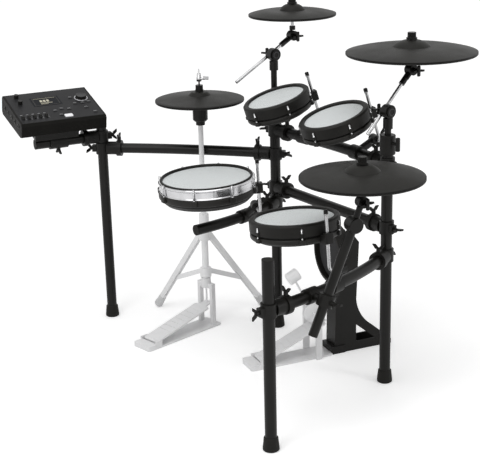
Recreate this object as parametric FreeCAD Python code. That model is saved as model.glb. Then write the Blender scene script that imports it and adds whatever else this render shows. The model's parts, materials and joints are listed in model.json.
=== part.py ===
import FreeCAD, Part
import math
import os

# Electronic drum kit on a tube rack: mesh drum pads, rubber cymbal pads, a hi-hat on its pedal stand,
# a kick tower with its pedal and a sound module. Millimetres; X to the player's right, Y away from the
# player, Z up from the floor.

# Fits and gaps
fit_gap = 0.05          # radial gap where a clamp, cap or bracket grips
run_gap = 0.06          # radial gap where a pin or shaft turns or slides
face_gap = 0.3          # gap between faces that turn or slide past each other
overrun = 4.0           # how far a cutter runs past the face that it opens

# Rack tubes
tube_d = 38.1
tube_wall = 2.0
rear_span = 632.0
left_leg_out = 495.0
left_leg_back = 462.0
right_leg_out = 166.0
right_leg_back = 604.0
left_leg_rise = 114.0
right_leg_rise = 158.0
pillar_rise = 48.0
left_arm_drop = 90.0
left_arm_bow = 18.0
right_arm_drop = 98.0
right_arm_bow = 35.0
tom_bar_height = 782.0
tom_bar_bow = 20.0
crossbar_drop = 218.0
snare_arm_drop = 58.0
snare_arm_out = 111.0
snare_arm_back = 425.0
snare_arm_bow = 25.0
module_arm_rise = 47.0
module_arm_reach = 262.0

# Rubber feet and tube caps
foot_d = 53.0
foot_neck_d = 46.0
foot_height = 46.0
foot_sole = 9.0
foot_groove = 3.0
cap_depth = 14.0
cap_lip = 3.0

# Tee clamps on the legs and pillars
clamp_wall = 6.0
sleeve_height = 44.0
socket_length = 52.0
socket_collar = 19.0
socket_collar_wall = 11.5
ear_width = 22.0
ear_height = 26.0
ear_reach = 13.0

# Wing bolts
bolt_d = 7.0
bolt_shank = 6.0
bolt_hub_d = 15.0
bolt_hub_length = 11.0
wing_span = 44.0
wing_height = 15.0
wing_thick = 6.5
handle_stem_d = 11.0
handle_stem = 24.0
handle_bar_d = 15.0
handle_bar = 46.0

# Pad rods and the clamps that hold them
rod_d = 10.5
rod_bend = 20.0
rod_rise = 42.0
rod_drop = 150.0
rod_tip = 6.0
rod_cap_d = 14.0
rod_cap_length = 12.0
rod_offset = 13.0
holder_d = 33.0
holder_length = 38.0
neck_d = 28.0
rod_clamp_width = 44.0

# Rubber-rimmed tom pads
tom_head_d = 203.0
floor_head_d = 254.0
rim_width = 19.0
rim_rise = 8.0
rim_round = 5.0
rim_skirt = 30.0
rim_wall = 8.0
head_thick = 1.5
shell_depth = 62.0
shell_wall = 4.0
shell_taper = 14.0
lug_count = 6
floor_lug_count = 6
lug_d = 12.0
lug_stand = 2.0
lug_sink = 1.0
lug_top = 17.0
bracket_width = 32.0
bracket_height = 34.0
bracket_wall = 8.0
tom_1_x_share = -0.2753
tom_1_y = -94.0
tom_1_rise = 153.0
tom_1_turn_deg = -18.0
tom_1_tilt_deg = 17.0
tom_1_leg = 66.0
tom_2_x_share = 0.2184
tom_2_y = -83.0
tom_2_rise = 140.0
tom_2_turn_deg = -15.0
tom_2_tilt_deg = 17.0
tom_2_leg = 66.0
tom_3_in = 28.0
tom_3_y = -361.0
tom_3_rise = 193.0
tom_3_turn_deg = -88.0
tom_3_tilt_deg = 5.5
tom_3_leg = 66.0

# Snare pad
snare_head_d = 305.0
snare_rim_width = 9.0
snare_rim_rise = 9.0
snare_rim_deep = 5.0
snare_hoop_width = 15.0
snare_hoop_height = 34.0
snare_hoop_wall = 3.0
snare_hoop_flange = 6.0
snare_shell_depth = 74.0
snare_lug_count = 8
snare_in = 146.0
snare_y = -398.0
snare_rise = 191.0
snare_turn_deg = -25.0
snare_tilt_deg = 2.5
snare_leg = 128.0

# Cymbal pads
crash_d = 320.0
ride_d = 430.0
right_crash_d = 381.0
cymbal_edge = 5.0
cymbal_thick = 5.5
bow_slope_deg = 6.5
bell_share = 0.145
bell_crown = 20.0
hub_d = 46.0
hub_drop = 12.0
stud_hole_d = 13.8
stud_d = 6.5
stud_rise = 18.0
seat_d = 20.0
seat_sink = 2.0
felt_d = 36.0
felt_height = 7.0
felt_gap = 1.1
felt_slope_deg = 7.0
nut_d = 28.0
nut_height = 17.0
nut_collar = 3.0
nut_flutes = 12
nut_flute_d = 4.5
left_crash_rise = 132.0
ride_rise = 174.0
right_crash_out = 232.0
right_crash_y = -300.0
right_crash_rise = 370.0

# Cymbal posts, booms and tilters
post_d = 22.2
post_wall = 1.6
post_seat = 110.0
post_collar_height = 66.0
post_collar_grip = 16.0
post_collar_d = 52.0
knuckle_d = 45.0
knuckle_width = 13.0
knuckle_pin_d = 10.0
knuckle_cap_d = 34.0
knuckle_cap = 5.0
knuckle_collar_d = 32.0
knuckle_collar = 34.0
boom_d = 12.0
boom_sleeve_d = 22.0
boom_sleeve_length = 30.0
boom_socket_d = 20.0
boom_socket = 42.0
left_boom_rise = 232.0
left_boom_lean_deg = 31.0
left_boom_front = 111.0
left_boom_tail = 172.0
left_boom_turn_deg = 4.0
ride_boom_rise = 127.0
ride_boom_lean_deg = 46.0
ride_boom_front = 166.0
ride_boom_tail = 98.0
ride_boom_turn_deg = 0.0
tilter_d = 36.0
tilter_width = 14.0
tilter_pin_d = 9.0
tilter_neck_d = 22.0
tilter_neck = 35.0
tilter_stem_d = 11.0
sleeve_d = 12.0
right_post_lean_x = 30.0
right_post_lean_y = 154.0
right_post_rise = 378.0
right_post_low = 118.0
right_post_d = 30.0
right_crash_drop = 74.0
ratchet_d = 48.0
ratchet_width = 42.0
ratchet_drop = 74.0

# Hi-hat on its pedal stand
hat_d = 330.0
hat_arm_share = 0.5928
hat_arm_gap = 15.35
hat_rise = 200.0
hat_turn_deg = 10.0
hat_bow = 16.0
hat_bell = 14.0
hat_bell_d = 84.0
hat_skirt = 9.0
hat_hub_d = 56.0
hat_hub_drop = 4.0
hat_travel = 26.0
sensor_d = 56.0
sensor_height = 52.0
sensor_rest = 4.0
sensor_collar_d = 34.0
sensor_collar_height = 14.0
clutch_d = 32.0
clutch_height = 24.0
clutch_felt = 6.0
pull_rod_d = 6.0
pull_rod_top = 118.0
upper_tube_d = 19.0
upper_tube_overlap = 44.0
lower_tube_d = 26.0
lower_tube_top = 440.0
stand_lock_height = 26.0
stand_lock_d = 38.0
leg_hub_height = 366.0
leg_hub_d = 44.0
leg_hub_length = 34.0
brace_hub_height = 218.0
hat_leg_reach = 285.0
hat_leg_width = 19.0
hat_leg_thick = 6.0
hat_leg_gap = 11.0
hat_leg_foot_d = 24.0
hat_leg_foot = 34.0
hat_rivet_d = 8.0
hat_leg_1_deg = 282.0
hat_leg_2_deg = 185.0
brace_share = 0.62

# Pedal boards, shared by the hi-hat and the kick pedal
base_width = 92.0
base_thick = 7.0
heel_length = 54.0
heel_height = 19.0
board_width = 78.0
board_thick = 6.0
board_length = 268.0
hat_board_slope_deg = 13.0
kick_board_slope_deg = 23.0
board_round = 9.0
toe_width = 36.0
hat_toe = 36.0
kick_toe = 12.0
board_grip_count = 7
board_grip_width = 5.0
board_grip_depth = 1.2
hinge_pin_d = 6.0
hinge_height = 24.0
hinge_ear = 6.5
hinge_knuckle = 46.0
hat_base_back = 338.0
hat_base_front = 34.0
hat_post_width = 14.0
hat_post_depth = 18.0
hat_post_spread = 68.0
hat_frame_top = 176.0
hat_bridge = 20.0
chain_link_d = 3.0
chain_link_long = 13.0
chain_link_wide = 9.0
chain_seat = 1.0

# Kick tower and kick pedal
kick_x = -4.0
kick_y = 14.0
kick_turn_deg = -11.0
kick_pad_d = 216.0
kick_top_gap = 57.0
kick_rim_wall = 13.0
kick_rim_front = 14.0
kick_rim_deep = 46.0
kick_face_thick = 18.0
plate_thick = 4.0
tower_width = 70.0
tower_top_share = 0.66
tower_back = 98.0
tower_waist = 88.0
tower_waist_share = 0.735
tower_tail = 236.0
tower_tail_height = 18.0
tower_flare_share = 0.46
tower_flare_back = 150.0
tower_hole = 34.0
tower_hole_back = 168.0
tower_hole_share = 0.5
tower_clamp_width = 78.0
tower_clamp_height = 30.0
tower_clamp_deep = 56.0
tower_spur_d = 14.0
pedal_length = 338.0
pedal_stop = 12.0
pedal_post_width = 12.0
pedal_post_depth = 22.0
pedal_post_spread = 92.0
pedal_axle_height = 166.0
pedal_axle_back = 74.0
pedal_axle_d = 10.0
pedal_cam_r = 36.0
pedal_cam_width = 20.0
pedal_cam_groove = 11.0
beater_reach = 168.0
beater_lean_deg = 27.0
beater_shaft_d = 7.0
beater_head_d = 46.0
beater_head_length = 44.0

# Sound module
module_width = 326.0
module_depth = 262.0
module_out = 43.0
module_back_off = 170.0
module_rise = 137.0
module_turn_deg = 81.7
module_tilt_deg = 15.0
module_front = 44.0
module_back = 74.0
module_chamfer = 9.0
module_round = 5.0
panel_inset = 7.0
panel_thick = 2.0
display_width = 112.0
display_depth = 74.0
display_thick = 1.2
display_x_share = -0.06
display_y_share = 0.15
dial_d = 40.0
dial_height = 13.0
dial_x_share = 0.36
dial_y_share = 0.13
knob_d = 17.0
knob_height = 13.0
knob_x_share = -0.36
knob_1_y_share = 0.36
knob_2_y_share = 0.16
shaft_d = 6.0
shaft_depth = 14.0
fader_count = 5
fader_pitch = 22.0
fader_x_share = -0.3
fader_y_share = -0.3
fader_slot_width = 3.0
fader_cap_width = 10.0
fader_cap_long = 15.0
fader_cap_height = 9.0
fader_stem_long = 6.0
fader_travel = 12.0
button_width = 30.0
button_long = 20.0
button_rise = 3.0
button_depth = 8.0
button_travel = 1.5
button_x_share = 0.08
button_y_share = -0.37
jack_count = 5
jack_d = 12.0
jack_depth = 3.0
mount_plate_width = 120.0
mount_plate_depth = 90.0
mount_plate_thick = 4.0
mount_sleeve_length = 70.0
mount_web = 60.0

V = FreeCAD.Vector
up = V(0, 0, 1)
zero = V(0, 0, 0)
tube_r = tube_d / 2
bore_r = tube_r - tube_wall
branch_seat = tube_r + clamp_wall
left_arm_height = tom_bar_height - left_arm_drop
crossbar_height = tom_bar_height - crossbar_drop
right_arm_height = crossbar_height - right_arm_drop
snare_arm_height = crossbar_height - snare_arm_drop
module_arm_height = left_arm_height + module_arm_rise
left_leg_top = left_arm_height + left_leg_rise
right_leg_top = right_arm_height + right_leg_rise
pillar_top = tom_bar_height + pillar_rise
left_boom_height = pillar_top + left_boom_rise
ride_boom_height = pillar_top + ride_boom_rise
kick_pad_low = crossbar_height - tube_r - kick_top_gap - kick_pad_d
kick_pad_height = kick_pad_low + kick_pad_d / 2
tower_top = kick_pad_height + kick_pad_d / 2 * tower_top_share
tower_waist_height = kick_pad_low * tower_waist_share
tower_flare_height = tower_waist_height * tower_flare_share
tower_hole_top = tower_waist_height * tower_hole_share
hat_z = left_arm_height + hat_rise
parts = {}
pivots = {}
castings = []
bolts = []
rod_holders = []
feet = []


def turn(axis, degrees):
    return FreeCAD.Rotation(axis, degrees)


def station(point, rotation):
    return FreeCAD.Placement(point, rotation)


def placed(shape, frame):
    copy = shape.copy()
    copy.Placement = frame.multiply(copy.Placement)
    return copy


def along(base, axis, radius, start, end):
    return Part.makeCylinder(radius, end - start, base + axis * start, axis)


def ring(base, axis, outer, inner, start, end):
    hole = along(base, axis, inner, start - overrun, end + overrun)
    return along(base, axis, outer, start, end).cut(hole)


def slab(x, y, z):
    return Part.makeBox(x[1] - x[0], y[1] - y[0], z[1] - z[0], V(x[0], y[0], z[0]))


def polygon(points):
    return Part.Face(Part.makePolygon(points + points[:1]))


def turned(outline):
    face = polygon([V(radius, 0, height) for radius, height in outline])
    return face.revolve(zero, up, 360)


def fused(shapes):
    return shapes[0].fuse(shapes[1:]).removeSplitter()


def rounded_upright(shape, radius):
    edges = [edge for edge in shape.Edges
             if abs(edge.tangentAt(edge.FirstParameter).z) > math.cos(math.radians(1))]
    return shape.makeFillet(radius, edges)


class Run:
    # The centre line of a rack tube between two points at one height, bowed to its left by an arc.
    def __init__(self, start, end, bow=0.0):
        chord = end - start
        self.start = start
        self.heading = V(chord.x, chord.y, chord.z).normalize()
        self.bow = bow
        self.length = chord.Length
        if bow:
            side = V(-self.heading.y, self.heading.x, 0) * math.copysign(1, bow)
            self.radius = chord.Length ** 2 / (8 * abs(bow)) + abs(bow) / 2
            self.centre = (start + end) * 0.5 + side * (abs(bow) - self.radius)
            self.axis = V(0, 0, -math.copysign(1, bow))
            self.length = 2 * self.radius * math.asin(chord.Length / (2 * self.radius))

    def swing(self, distance):
        return turn(self.axis, math.degrees(distance / self.radius))

    def point(self, distance):
        if not self.bow:
            return self.start + self.heading * distance
        return self.centre + self.swing(distance).multVec(self.start - self.centre)

    def tangent(self, distance):
        if not self.bow:
            return V(self.heading)
        return self.axis.cross(self.point(distance) - self.centre).normalize()

    def solid(self, radius, start, end):
        if not self.bow:
            return along(self.start, self.heading, radius, start, end)
        disc = Part.Face(Part.Wire(Part.makeCircle(radius, self.point(start), self.tangent(start))))
        return disc.revolve(self.centre, self.axis, math.degrees((end - start) / self.radius))

    def tube(self, outer, inner, start, end):
        return self.solid(outer, start, end).cut(self.solid(inner, start - overrun, end + overrun))


def wing(face_point, axis, spin_deg, shank_length):
    # A moulded wing on a hub, with its shank behind the face it stands on
    hub = along(zero, up, bolt_hub_d / 2, 0, bolt_hub_length)
    shank = along(zero, up, bolt_d / 2, -shank_length, 0)
    half = wing_span / 2
    low = bolt_hub_length - bolt_d / 2
    blade = polygon([V(-half / 2, 0, low), V(half / 2, 0, low), V(half, 0, low + wing_height),
                     V(half / 2, 0, low + wing_height), V(0, 0, bolt_hub_length),
                     V(-half / 2, 0, low + wing_height),
                     V(-half, 0, low + wing_height)])
    blades = blade.extrude(V(0, wing_thick, 0))
    blades.translate(V(0, -wing_thick / 2, 0))
    heading = FreeCAD.Rotation(up, axis).multiply(turn(up, spin_deg))
    return placed(fused([hub, shank, blades]), station(face_point, heading))


def wing_bolt(face_point, axis, spin_deg):
    # A wing bolt in a casting; the hole for its shank is handed back
    bolts.append(wing(face_point, axis, spin_deg, bolt_shank))
    return along(face_point, axis, bolt_d / 2 + fit_gap, -bolt_shank - face_gap, overrun)


def bar_handle(face_point, axis):
    # A T handle in a casting; the hole for its shank is handed back
    stem = along(face_point, axis, handle_stem_d / 2, 0, handle_stem)
    shank = along(face_point, axis, bolt_d / 2, -bolt_shank, 0)
    grip = along(face_point + axis * handle_stem, up, handle_bar_d / 2, -handle_bar / 2, handle_bar / 2)
    grip = grip.makeFillet(handle_bar_d / 4, [edge for edge in grip.Edges if edge.Closed])
    bolts.append(fused([stem, shank, grip]))
    return along(face_point, axis, bolt_d / 2 + fit_gap, -bolt_shank - face_gap, overrun)


def tee(post, run, at_start):
    # A casting that grips an upright tube and holds the end of a rack tube
    def span(near, far):
        return (near, far) if at_start else (run.length - far, run.length - near)

    joint = run.point(0 if at_start else run.length)
    heading = run.tangent(0) if at_start else run.tangent(run.length) * -1
    foot = V(post.x, post.y, joint.z)
    sleeve = along(foot, up, tube_r + clamp_wall, -sleeve_height / 2, sleeve_height / 2)
    socket = run.solid(tube_r + clamp_wall - fit_gap, *span(tube_r, branch_seat + socket_length))
    reach = branch_seat + socket_length
    collar = run.solid(tube_r + socket_collar_wall, *span(reach - socket_collar, reach))
    ear_end = branch_seat + ear_reach
    ear = slab((-ear_end, 0), (-ear_width / 2, ear_width / 2), (-ear_height / 2, ear_height / 2))
    ear = placed(ear, station(foot, FreeCAD.Rotation(V(1, 0, 0), heading)))
    cuts = [along(foot, up, tube_r + fit_gap, -sleeve_height, sleeve_height)]
    cuts.append(run.solid(tube_r + fit_gap, *span(branch_seat, reach + overrun)))
    cuts.append(wing_bolt(foot - heading * ear_end, heading * -1, 90))
    middle = (span(reach - socket_collar, reach)[0] + span(reach - socket_collar, reach)[1]) / 2
    top = run.point(middle) + up * (tube_r + socket_collar_wall - fit_gap)
    side = run.tangent(middle).cross(up)
    boss = along(top, up, bolt_hub_d / 2, -socket_collar_wall / 2, bolt_shank / 2)
    cuts.append(wing_bolt(top + up * (bolt_shank / 2), up, math.degrees(math.atan2(side.y, side.x))))
    castings.append(fused([sleeve, socket, collar, ear, boss]).cut(cuts))


def rod_clamp(run, distance, point, axis, bore):
    # A clamp on a rack tube with a holder for a pad rod or a cymbal post
    half = rod_clamp_width / 2
    seat = run.point(distance)
    reach = (point - seat).normalize()
    holder_r = holder_d / 2 + bore - rod_d / 2
    grip = run.solid(tube_r + clamp_wall, distance - half, distance + half)
    holder = along(point, axis, holder_r, -holder_length / 2, holder_length / 2)
    neck = along(seat, reach, neck_d / 2, tube_r, (point - seat).Length)
    out = reach - axis * reach.dot(axis)
    out.normalize()
    boss = along(point, out, bolt_hub_d / 2, 0, holder_r + bolt_shank / 2)
    cuts = [run.solid(tube_r + fit_gap, distance - half - overrun, distance + half + overrun)]
    cuts.append(along(point, axis, bore + run_gap, -holder_length, holder_length))
    cuts.append(wing_bolt(point + out * (holder_r + bolt_shank / 2), out, 90))
    rod_holders.append(fused([grip, holder, neck, boss]).cut(cuts))


def tube_cap(run):
    plug = run.solid(bore_r - fit_gap, run.length - cap_depth, run.length)
    lip = along(run.point(run.length), run.tangent(run.length), tube_r, 0, cap_lip)
    feet.append(fused([plug, lip]))


def nearest_on(run, point):
    # The distance along a run at which it passes closest to a point
    low, high = 0.0, run.length
    while high - low > fit_gap:
        third = (high - low) / 3
        if (run.point(low + third) - point).Length < (run.point(high - third) - point).Length:
            high -= third
        else:
            low += third
    return (low + high) / 2


# Rack: legs, pillars, arms and bars
left_pillar = V(-rear_span / 2, 0, 0)
right_pillar = V(rear_span / 2, 0, 0)
left_leg = left_pillar + V(-left_leg_out, -left_leg_back, 0)
right_leg = right_pillar + V(right_leg_out, -right_leg_back, 0)
module_heading = turn(up, module_turn_deg).multVec(V(-1, 0, 0))
left_arm = Run(left_leg + up * left_arm_height, left_pillar + up * left_arm_height, left_arm_bow)
right_arm = Run(right_leg + up * right_arm_height, right_pillar + up * right_arm_height, -right_arm_bow)
tom_bar = Run(left_pillar + up * tom_bar_height, right_pillar + up * tom_bar_height, tom_bar_bow)
crossbar = Run(left_pillar + up * crossbar_height, right_pillar + up * crossbar_height)
snare_end = left_pillar + V(snare_arm_out, -snare_arm_back, snare_arm_height)
snare_arm = Run(left_pillar + up * snare_arm_height, snare_end, snare_arm_bow)
module_base = left_leg + up * module_arm_height
module_arm = Run(module_base, module_base + module_heading * module_arm_reach)


def upright(post, top):
    foot_outline = [(0, 0), (foot_d / 2 - foot_groove, 0), (foot_d / 2, foot_groove),
                    (foot_d / 2, foot_sole),
                    (foot_neck_d / 2, foot_height - foot_groove),
                    (foot_neck_d / 2 - foot_groove, foot_height),
                    (tube_r + fit_gap, foot_height), (tube_r + fit_gap, foot_sole), (0, foot_sole)]
    foot = turned(foot_outline)
    foot.translate(post)
    feet.append(foot)
    return ring(post, up, tube_r, bore_r, foot_sole, top)


def bar(run, free_end=False):
    end = run.length if free_end else run.length - branch_seat
    return run.tube(tube_r, bore_r, branch_seat, end)


parts["front_legs"] = [upright(left_leg, left_leg_top), upright(right_leg, right_leg_top)]
parts["rear_pillars"] = [upright(left_pillar, pillar_top), upright(right_pillar, pillar_top)]
parts["side_arms"] = [bar(left_arm), bar(right_arm)]
parts["cross_bars"] = [bar(tom_bar), bar(crossbar)]
parts["branch_arms"] = [bar(snare_arm, True), bar(module_arm, True)]
tube_cap(Run(left_leg, left_leg + up * left_leg_top))
tube_cap(Run(right_leg, right_leg + up * right_leg_top))
tube_cap(snare_arm)
tube_cap(module_arm)
tee(left_leg, left_arm, True)
tee(left_pillar, left_arm, False)
tee(right_leg, right_arm, True)
tee(right_pillar, right_arm, False)
tee(left_pillar, tom_bar, True)
tee(right_pillar, tom_bar, False)
tee(left_pillar, crossbar, True)
tee(right_pillar, crossbar, False)
tee(left_pillar, snare_arm, True)
tee(left_leg, module_arm, True)


# Drum pads: each is made level with its head's centre at zero, its bracket towards +Y
def pad_rod(offset, leg):
    bend_top = -rod_drop + rod_bend
    stem = along(V(0, offset, 0), up, rod_d / 2, bend_top, rod_rise)
    cap = along(V(0, offset, 0), up, rod_cap_d / 2, rod_rise - rod_cap_length, rod_rise + rod_tip)
    cap = cap.makeFillet(rod_tip / 2, cap.Edges)
    disc = Part.Face(Part.Wire(Part.makeCircle(rod_d / 2, V(0, offset, bend_top), up)))
    elbow = disc.revolve(V(-rod_bend, offset, bend_top), V(0, 1, 0), 90)
    foot = along(V(0, offset, -rod_drop), V(-1, 0, 0), rod_d / 2, rod_bend, leg)
    return fused([stem, cap, elbow, foot])


def pad_bracket(shell_r, offset, low):
    half = bracket_width / 2
    outer = offset + rod_d / 2 + bracket_wall
    block = slab((-half, half), (shell_r - shell_wall / 2, outer), (low, low + bracket_height))
    block = rounded_upright(block, bracket_wall / 2)
    cutter = along(V(0, offset, 0), up, rod_d / 2 + fit_gap, low - overrun, low + bracket_height + overrun)
    return block, cutter


def spread(shape, count, start_deg):
    return [placed(shape, station(zero, turn(up, start_deg + 360 * index / count)))
            for index in range(count)]


def cup(shell_r, depth, top):
    inner = shell_r - shell_wall
    return turned([(0, -depth), (shell_r - shell_taper, -depth), (shell_r, shell_taper - depth),
                   (shell_r, top),
                   (inner, top), (inner, shell_taper - depth),
                   (inner - shell_taper + shell_wall, shell_wall - depth),
                   (0, shell_wall - depth)])


def place_pad(name, shapes, frame, leg, run):
    for piece, shape in shapes.items():
        parts[name + "_" + piece] = [placed(shape, frame)]
    offset = pad_offset[name]
    axis = frame.Rotation.multVec(V(-1, 0, 0))
    grip = frame.multVec(V(-leg + rod_tip + holder_length / 2, offset, -rod_drop))
    pivots[name + "_tilt"] = (grip, axis * -1)
    rod_clamp(run, nearest_on(run, grip), grip, axis, rod_d / 2)


def tom(name, head_d, lugs, place, turn_deg, tilt_deg, leg, run):
    head_r = head_d / 2
    rim_r = head_r + rim_width
    shell_r = rim_r - rim_wall - fit_gap
    offset = rim_r + rod_offset
    pad_offset[name] = offset
    low = -rim_skirt
    rim = turned([(head_r, 0), (head_r, rim_rise - rim_round / 2), (head_r + rim_round / 2, rim_rise),
                  (rim_r - rim_round, rim_rise), (rim_r, rim_rise - rim_round), (rim_r, low),
                  (rim_r - rim_wall, low), (rim_r - rim_wall, 0)])
    boss = along(V(rim_r - lug_sink, 0, 0), up, lug_d / 2, low - lug_stand, -lug_top)
    rim = fused([rim] + spread(boss, lugs, 180 / lugs - 90))
    head = along(zero, up, rim_r - rim_wall - fit_gap, -head_thick, 0)
    block, cutter = pad_bracket(shell_r, offset, -shell_depth + shell_wall)
    shell = fused([cup(shell_r, shell_depth, -head_thick), block])
    below = slab((-rim_r, rim_r), (0, rim_r + lug_d), (low - face_gap, rim_rise))
    guard = below.cut(along(zero, up, shell_r + fit_gap, low - overrun, rim_rise + overrun))
    shell = shell.cut([cutter, guard])
    frame = station(V(*place), turn(up, turn_deg).multiply(turn(V(1, 0, 0), tilt_deg)))
    place_pad(name, {"shell": shell, "rim": rim, "head": head, "rod": pad_rod(offset, leg)}, frame, leg, run)


def snare():
    head_r = snare_head_d / 2
    hoop_r = head_r + snare_hoop_width
    inner = hoop_r - snare_hoop_wall
    shell_r = head_r + snare_rim_width - fit_gap
    offset = hoop_r + rod_offset
    pad_offset["snare"] = offset
    low = -snare_hoop_height
    rim_r = head_r + snare_rim_width
    rim = turned([(head_r, 0), (head_r, snare_rim_rise / 2), (head_r + snare_rim_width / 4, snare_rim_rise),
                  (rim_r - snare_rim_width / 4, snare_rim_rise), (rim_r, snare_rim_rise / 2), (rim_r, 0)])
    hoop = turned([(rim_r, -head_thick), (rim_r + fit_gap, snare_rim_deep), (inner, snare_rim_deep),
                   (hoop_r, snare_rim_deep - snare_hoop_wall), (hoop_r, snare_rim_deep - snare_hoop_flange),
                   (inner, snare_rim_deep - snare_hoop_flange - snare_hoop_wall),
                   (inner, low + snare_hoop_flange + snare_hoop_wall), (hoop_r, low + snare_hoop_flange),
                   (hoop_r, low), (rim_r, low)])
    boss = along(V(inner, 0, 0), up, lug_d / 2, low - lug_stand, low + snare_hoop_flange)
    core = along(zero, up, rim_r, low - overrun, snare_rim_deep + overrun)
    hoop = fused([hoop] + spread(boss, snare_lug_count, 180 / snare_lug_count - 90)).cut(core)
    head = along(zero, up, rim_r - fit_gap, -head_thick, 0)
    block, cutter = pad_bracket(shell_r, offset, -snare_shell_depth + shell_wall)
    shell = fused([cup(shell_r, snare_shell_depth, -head_thick), block])
    above = slab((-hoop_r, hoop_r), (0, hoop_r + lug_d), (low - lug_stand - face_gap, snare_rim_rise))
    guard = above.cut(along(zero, up, shell_r + fit_gap / 2, low - overrun, snare_rim_rise + overrun))
    shell = shell.cut([cutter, guard])
    place = V(left_pillar.x + snare_in, snare_y, snare_arm_height + snare_rise)
    frame = station(place, turn(up, snare_turn_deg).multiply(turn(V(1, 0, 0), snare_tilt_deg)))
    shapes = {"shell": shell, "hoop": hoop, "rim": rim, "head": head, "rod": pad_rod(offset, snare_leg)}
    place_pad("snare", shapes, frame, snare_leg, snare_arm)


pad_offset = {}
snare()
tom("tom_1", tom_head_d, lug_count, (rear_span * tom_1_x_share, tom_1_y, tom_bar_height + tom_1_rise),
    tom_1_turn_deg, tom_1_tilt_deg, tom_1_leg, tom_bar)
tom("tom_2", tom_head_d, lug_count, (rear_span * tom_2_x_share, tom_2_y, tom_bar_height + tom_2_rise),
    tom_2_turn_deg, tom_2_tilt_deg, tom_2_leg, tom_bar)
tom("tom_3", floor_head_d, floor_lug_count,
    (right_pillar.x - tom_3_in, tom_3_y, right_arm_height + tom_3_rise),
    tom_3_turn_deg, tom_3_tilt_deg, tom_3_leg, right_arm)


# Cymbal pads: made level with the edge's underside at zero
def on_seat(pad, low):
    # The round hollow under a pad's hub that rides on the domed seat
    return pad.cut(Part.makeSphere(seat_d / 2 + face_gap, up * (low + seat_sink)))


def cymbal(diameter):
    edge_r = diameter / 2
    bell_r = diameter * bell_share
    bow_rise = (edge_r - bell_r) * math.tan(math.radians(bow_slope_deg))
    bell_rise = bow_rise + bell_crown
    crown_r = hub_d / 2
    hole_r = stud_hole_d / 2
    low = bow_rise - hub_drop

    def arc(start, end, bulge):
        middle = (start + end) * 0.5
        side = V(-(end - start).z, 0, (end - start).x).normalize()
        return Part.Arc(start, middle + side * bulge, end).toShape()

    def line(start, end):
        return Part.LineSegment(start, end).toShape()

    top_edge = V(edge_r, 0, cymbal_edge)
    top_bell = V(bell_r, 0, bow_rise + cymbal_thick)
    top_hub = V(crown_r, 0, bell_rise + cymbal_thick)
    under_edge = V(edge_r - cymbal_edge, 0, 0)
    under_bell = V(bell_r, 0, bow_rise)
    under_hub = V(crown_r, 0, low)
    corners = [V(hole_r, 0, low), V(hole_r, 0, bell_rise + cymbal_thick), top_hub]
    edges = [line(under_hub, corners[0]), line(corners[0], corners[1]), line(corners[1], corners[2])]
    edges.append(arc(top_bell, top_hub, -bell_crown * bell_share))
    edges.append(arc(top_edge, top_bell, -cymbal_thick))
    edges.append(line(top_edge, V(edge_r, 0, cymbal_edge / 2)))
    edges.append(line(V(edge_r, 0, cymbal_edge / 2), under_edge))
    edges.append(arc(under_edge, under_bell, -cymbal_thick))
    edges.append(line(under_bell, under_hub))
    wire = Part.Wire(Part.__sortEdges__(edges))
    return on_seat(Part.Face(wire).revolve(zero, up, 360), low), low, bell_rise + cymbal_thick


def clamp_nut(base):
    body = along(base, up, nut_d / 2, 0, nut_height)
    flute = along(base + V(nut_d / 2, 0, 0), up, nut_flute_d / 2, nut_collar, nut_height + overrun)
    flutes = [placed(flute, station(zero, turn(up, 360 * index / nut_flutes)))
              for index in range(nut_flutes)]
    return body.cut(flutes)


def tilter(hinge, axis, hand, pad_low, pad_top):
    # The upper half of the tilter with its sleeve, felts, stud and nut, upright above the hinge.
    # The piece is made about the hinge and then moved there.
    half = tilter_width
    disc = along(zero, axis, tilter_d / 2, face_gap / 2, half)
    pin = along(zero, axis, tilter_pin_d / 2, -half - overrun, half)
    stop = along(zero, axis, tilter_pin_d, -half - overrun, -half - face_gap)
    outer = half if hand > 0 else half + overrun
    handle = wing(axis * (hand * outer), axis * hand, 90, bolt_shank / 2)
    neck = along(axis * (half / 2), up, tilter_stem_d / 2, 0, tilter_neck)
    head = along(zero, up, tilter_neck_d / 2, tilter_neck - tilter_width, tilter_neck)
    drop = pad_low - hinge.z + seat_sink
    sleeve = along(zero, up, sleeve_d / 2, tilter_neck, drop)
    seat = Part.makeSphere(seat_d / 2, up * drop)
    stud_top = pad_top - hinge.z + stud_rise
    stud = along(zero, up, stud_d / 2, drop, stud_top)
    over = pad_top - hinge.z + felt_gap
    stud_r = stud_d / 2 + fit_gap
    felt_cone = (felt_d - sleeve_d) / 2 * math.tan(math.radians(felt_slope_deg))
    felt = turned([(stud_r, over), (sleeve_d / 2, over), (felt_d / 2, over + felt_cone),
                   (felt_d / 2, over + felt_height),
                   (stud_r, over + felt_height)])
    nut = clamp_nut(up * (over + felt_height)).cut(along(zero, up, stud_r, over, stud_top + overrun))
    body = fused([disc, pin, stop, handle, neck, head, sleeve, seat, stud])
    solids = [body, felt, nut]
    for solid in solids:
        solid.translate(hinge)
    return solids


def boom_axes(turn_deg, lean_deg):
    plan = turn(up, -turn_deg).multVec(V(0, 1, 0))
    side = up.cross(plan)
    lean = math.radians(lean_deg)
    return plan * math.cos(lean) + up * math.sin(lean), side


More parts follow.
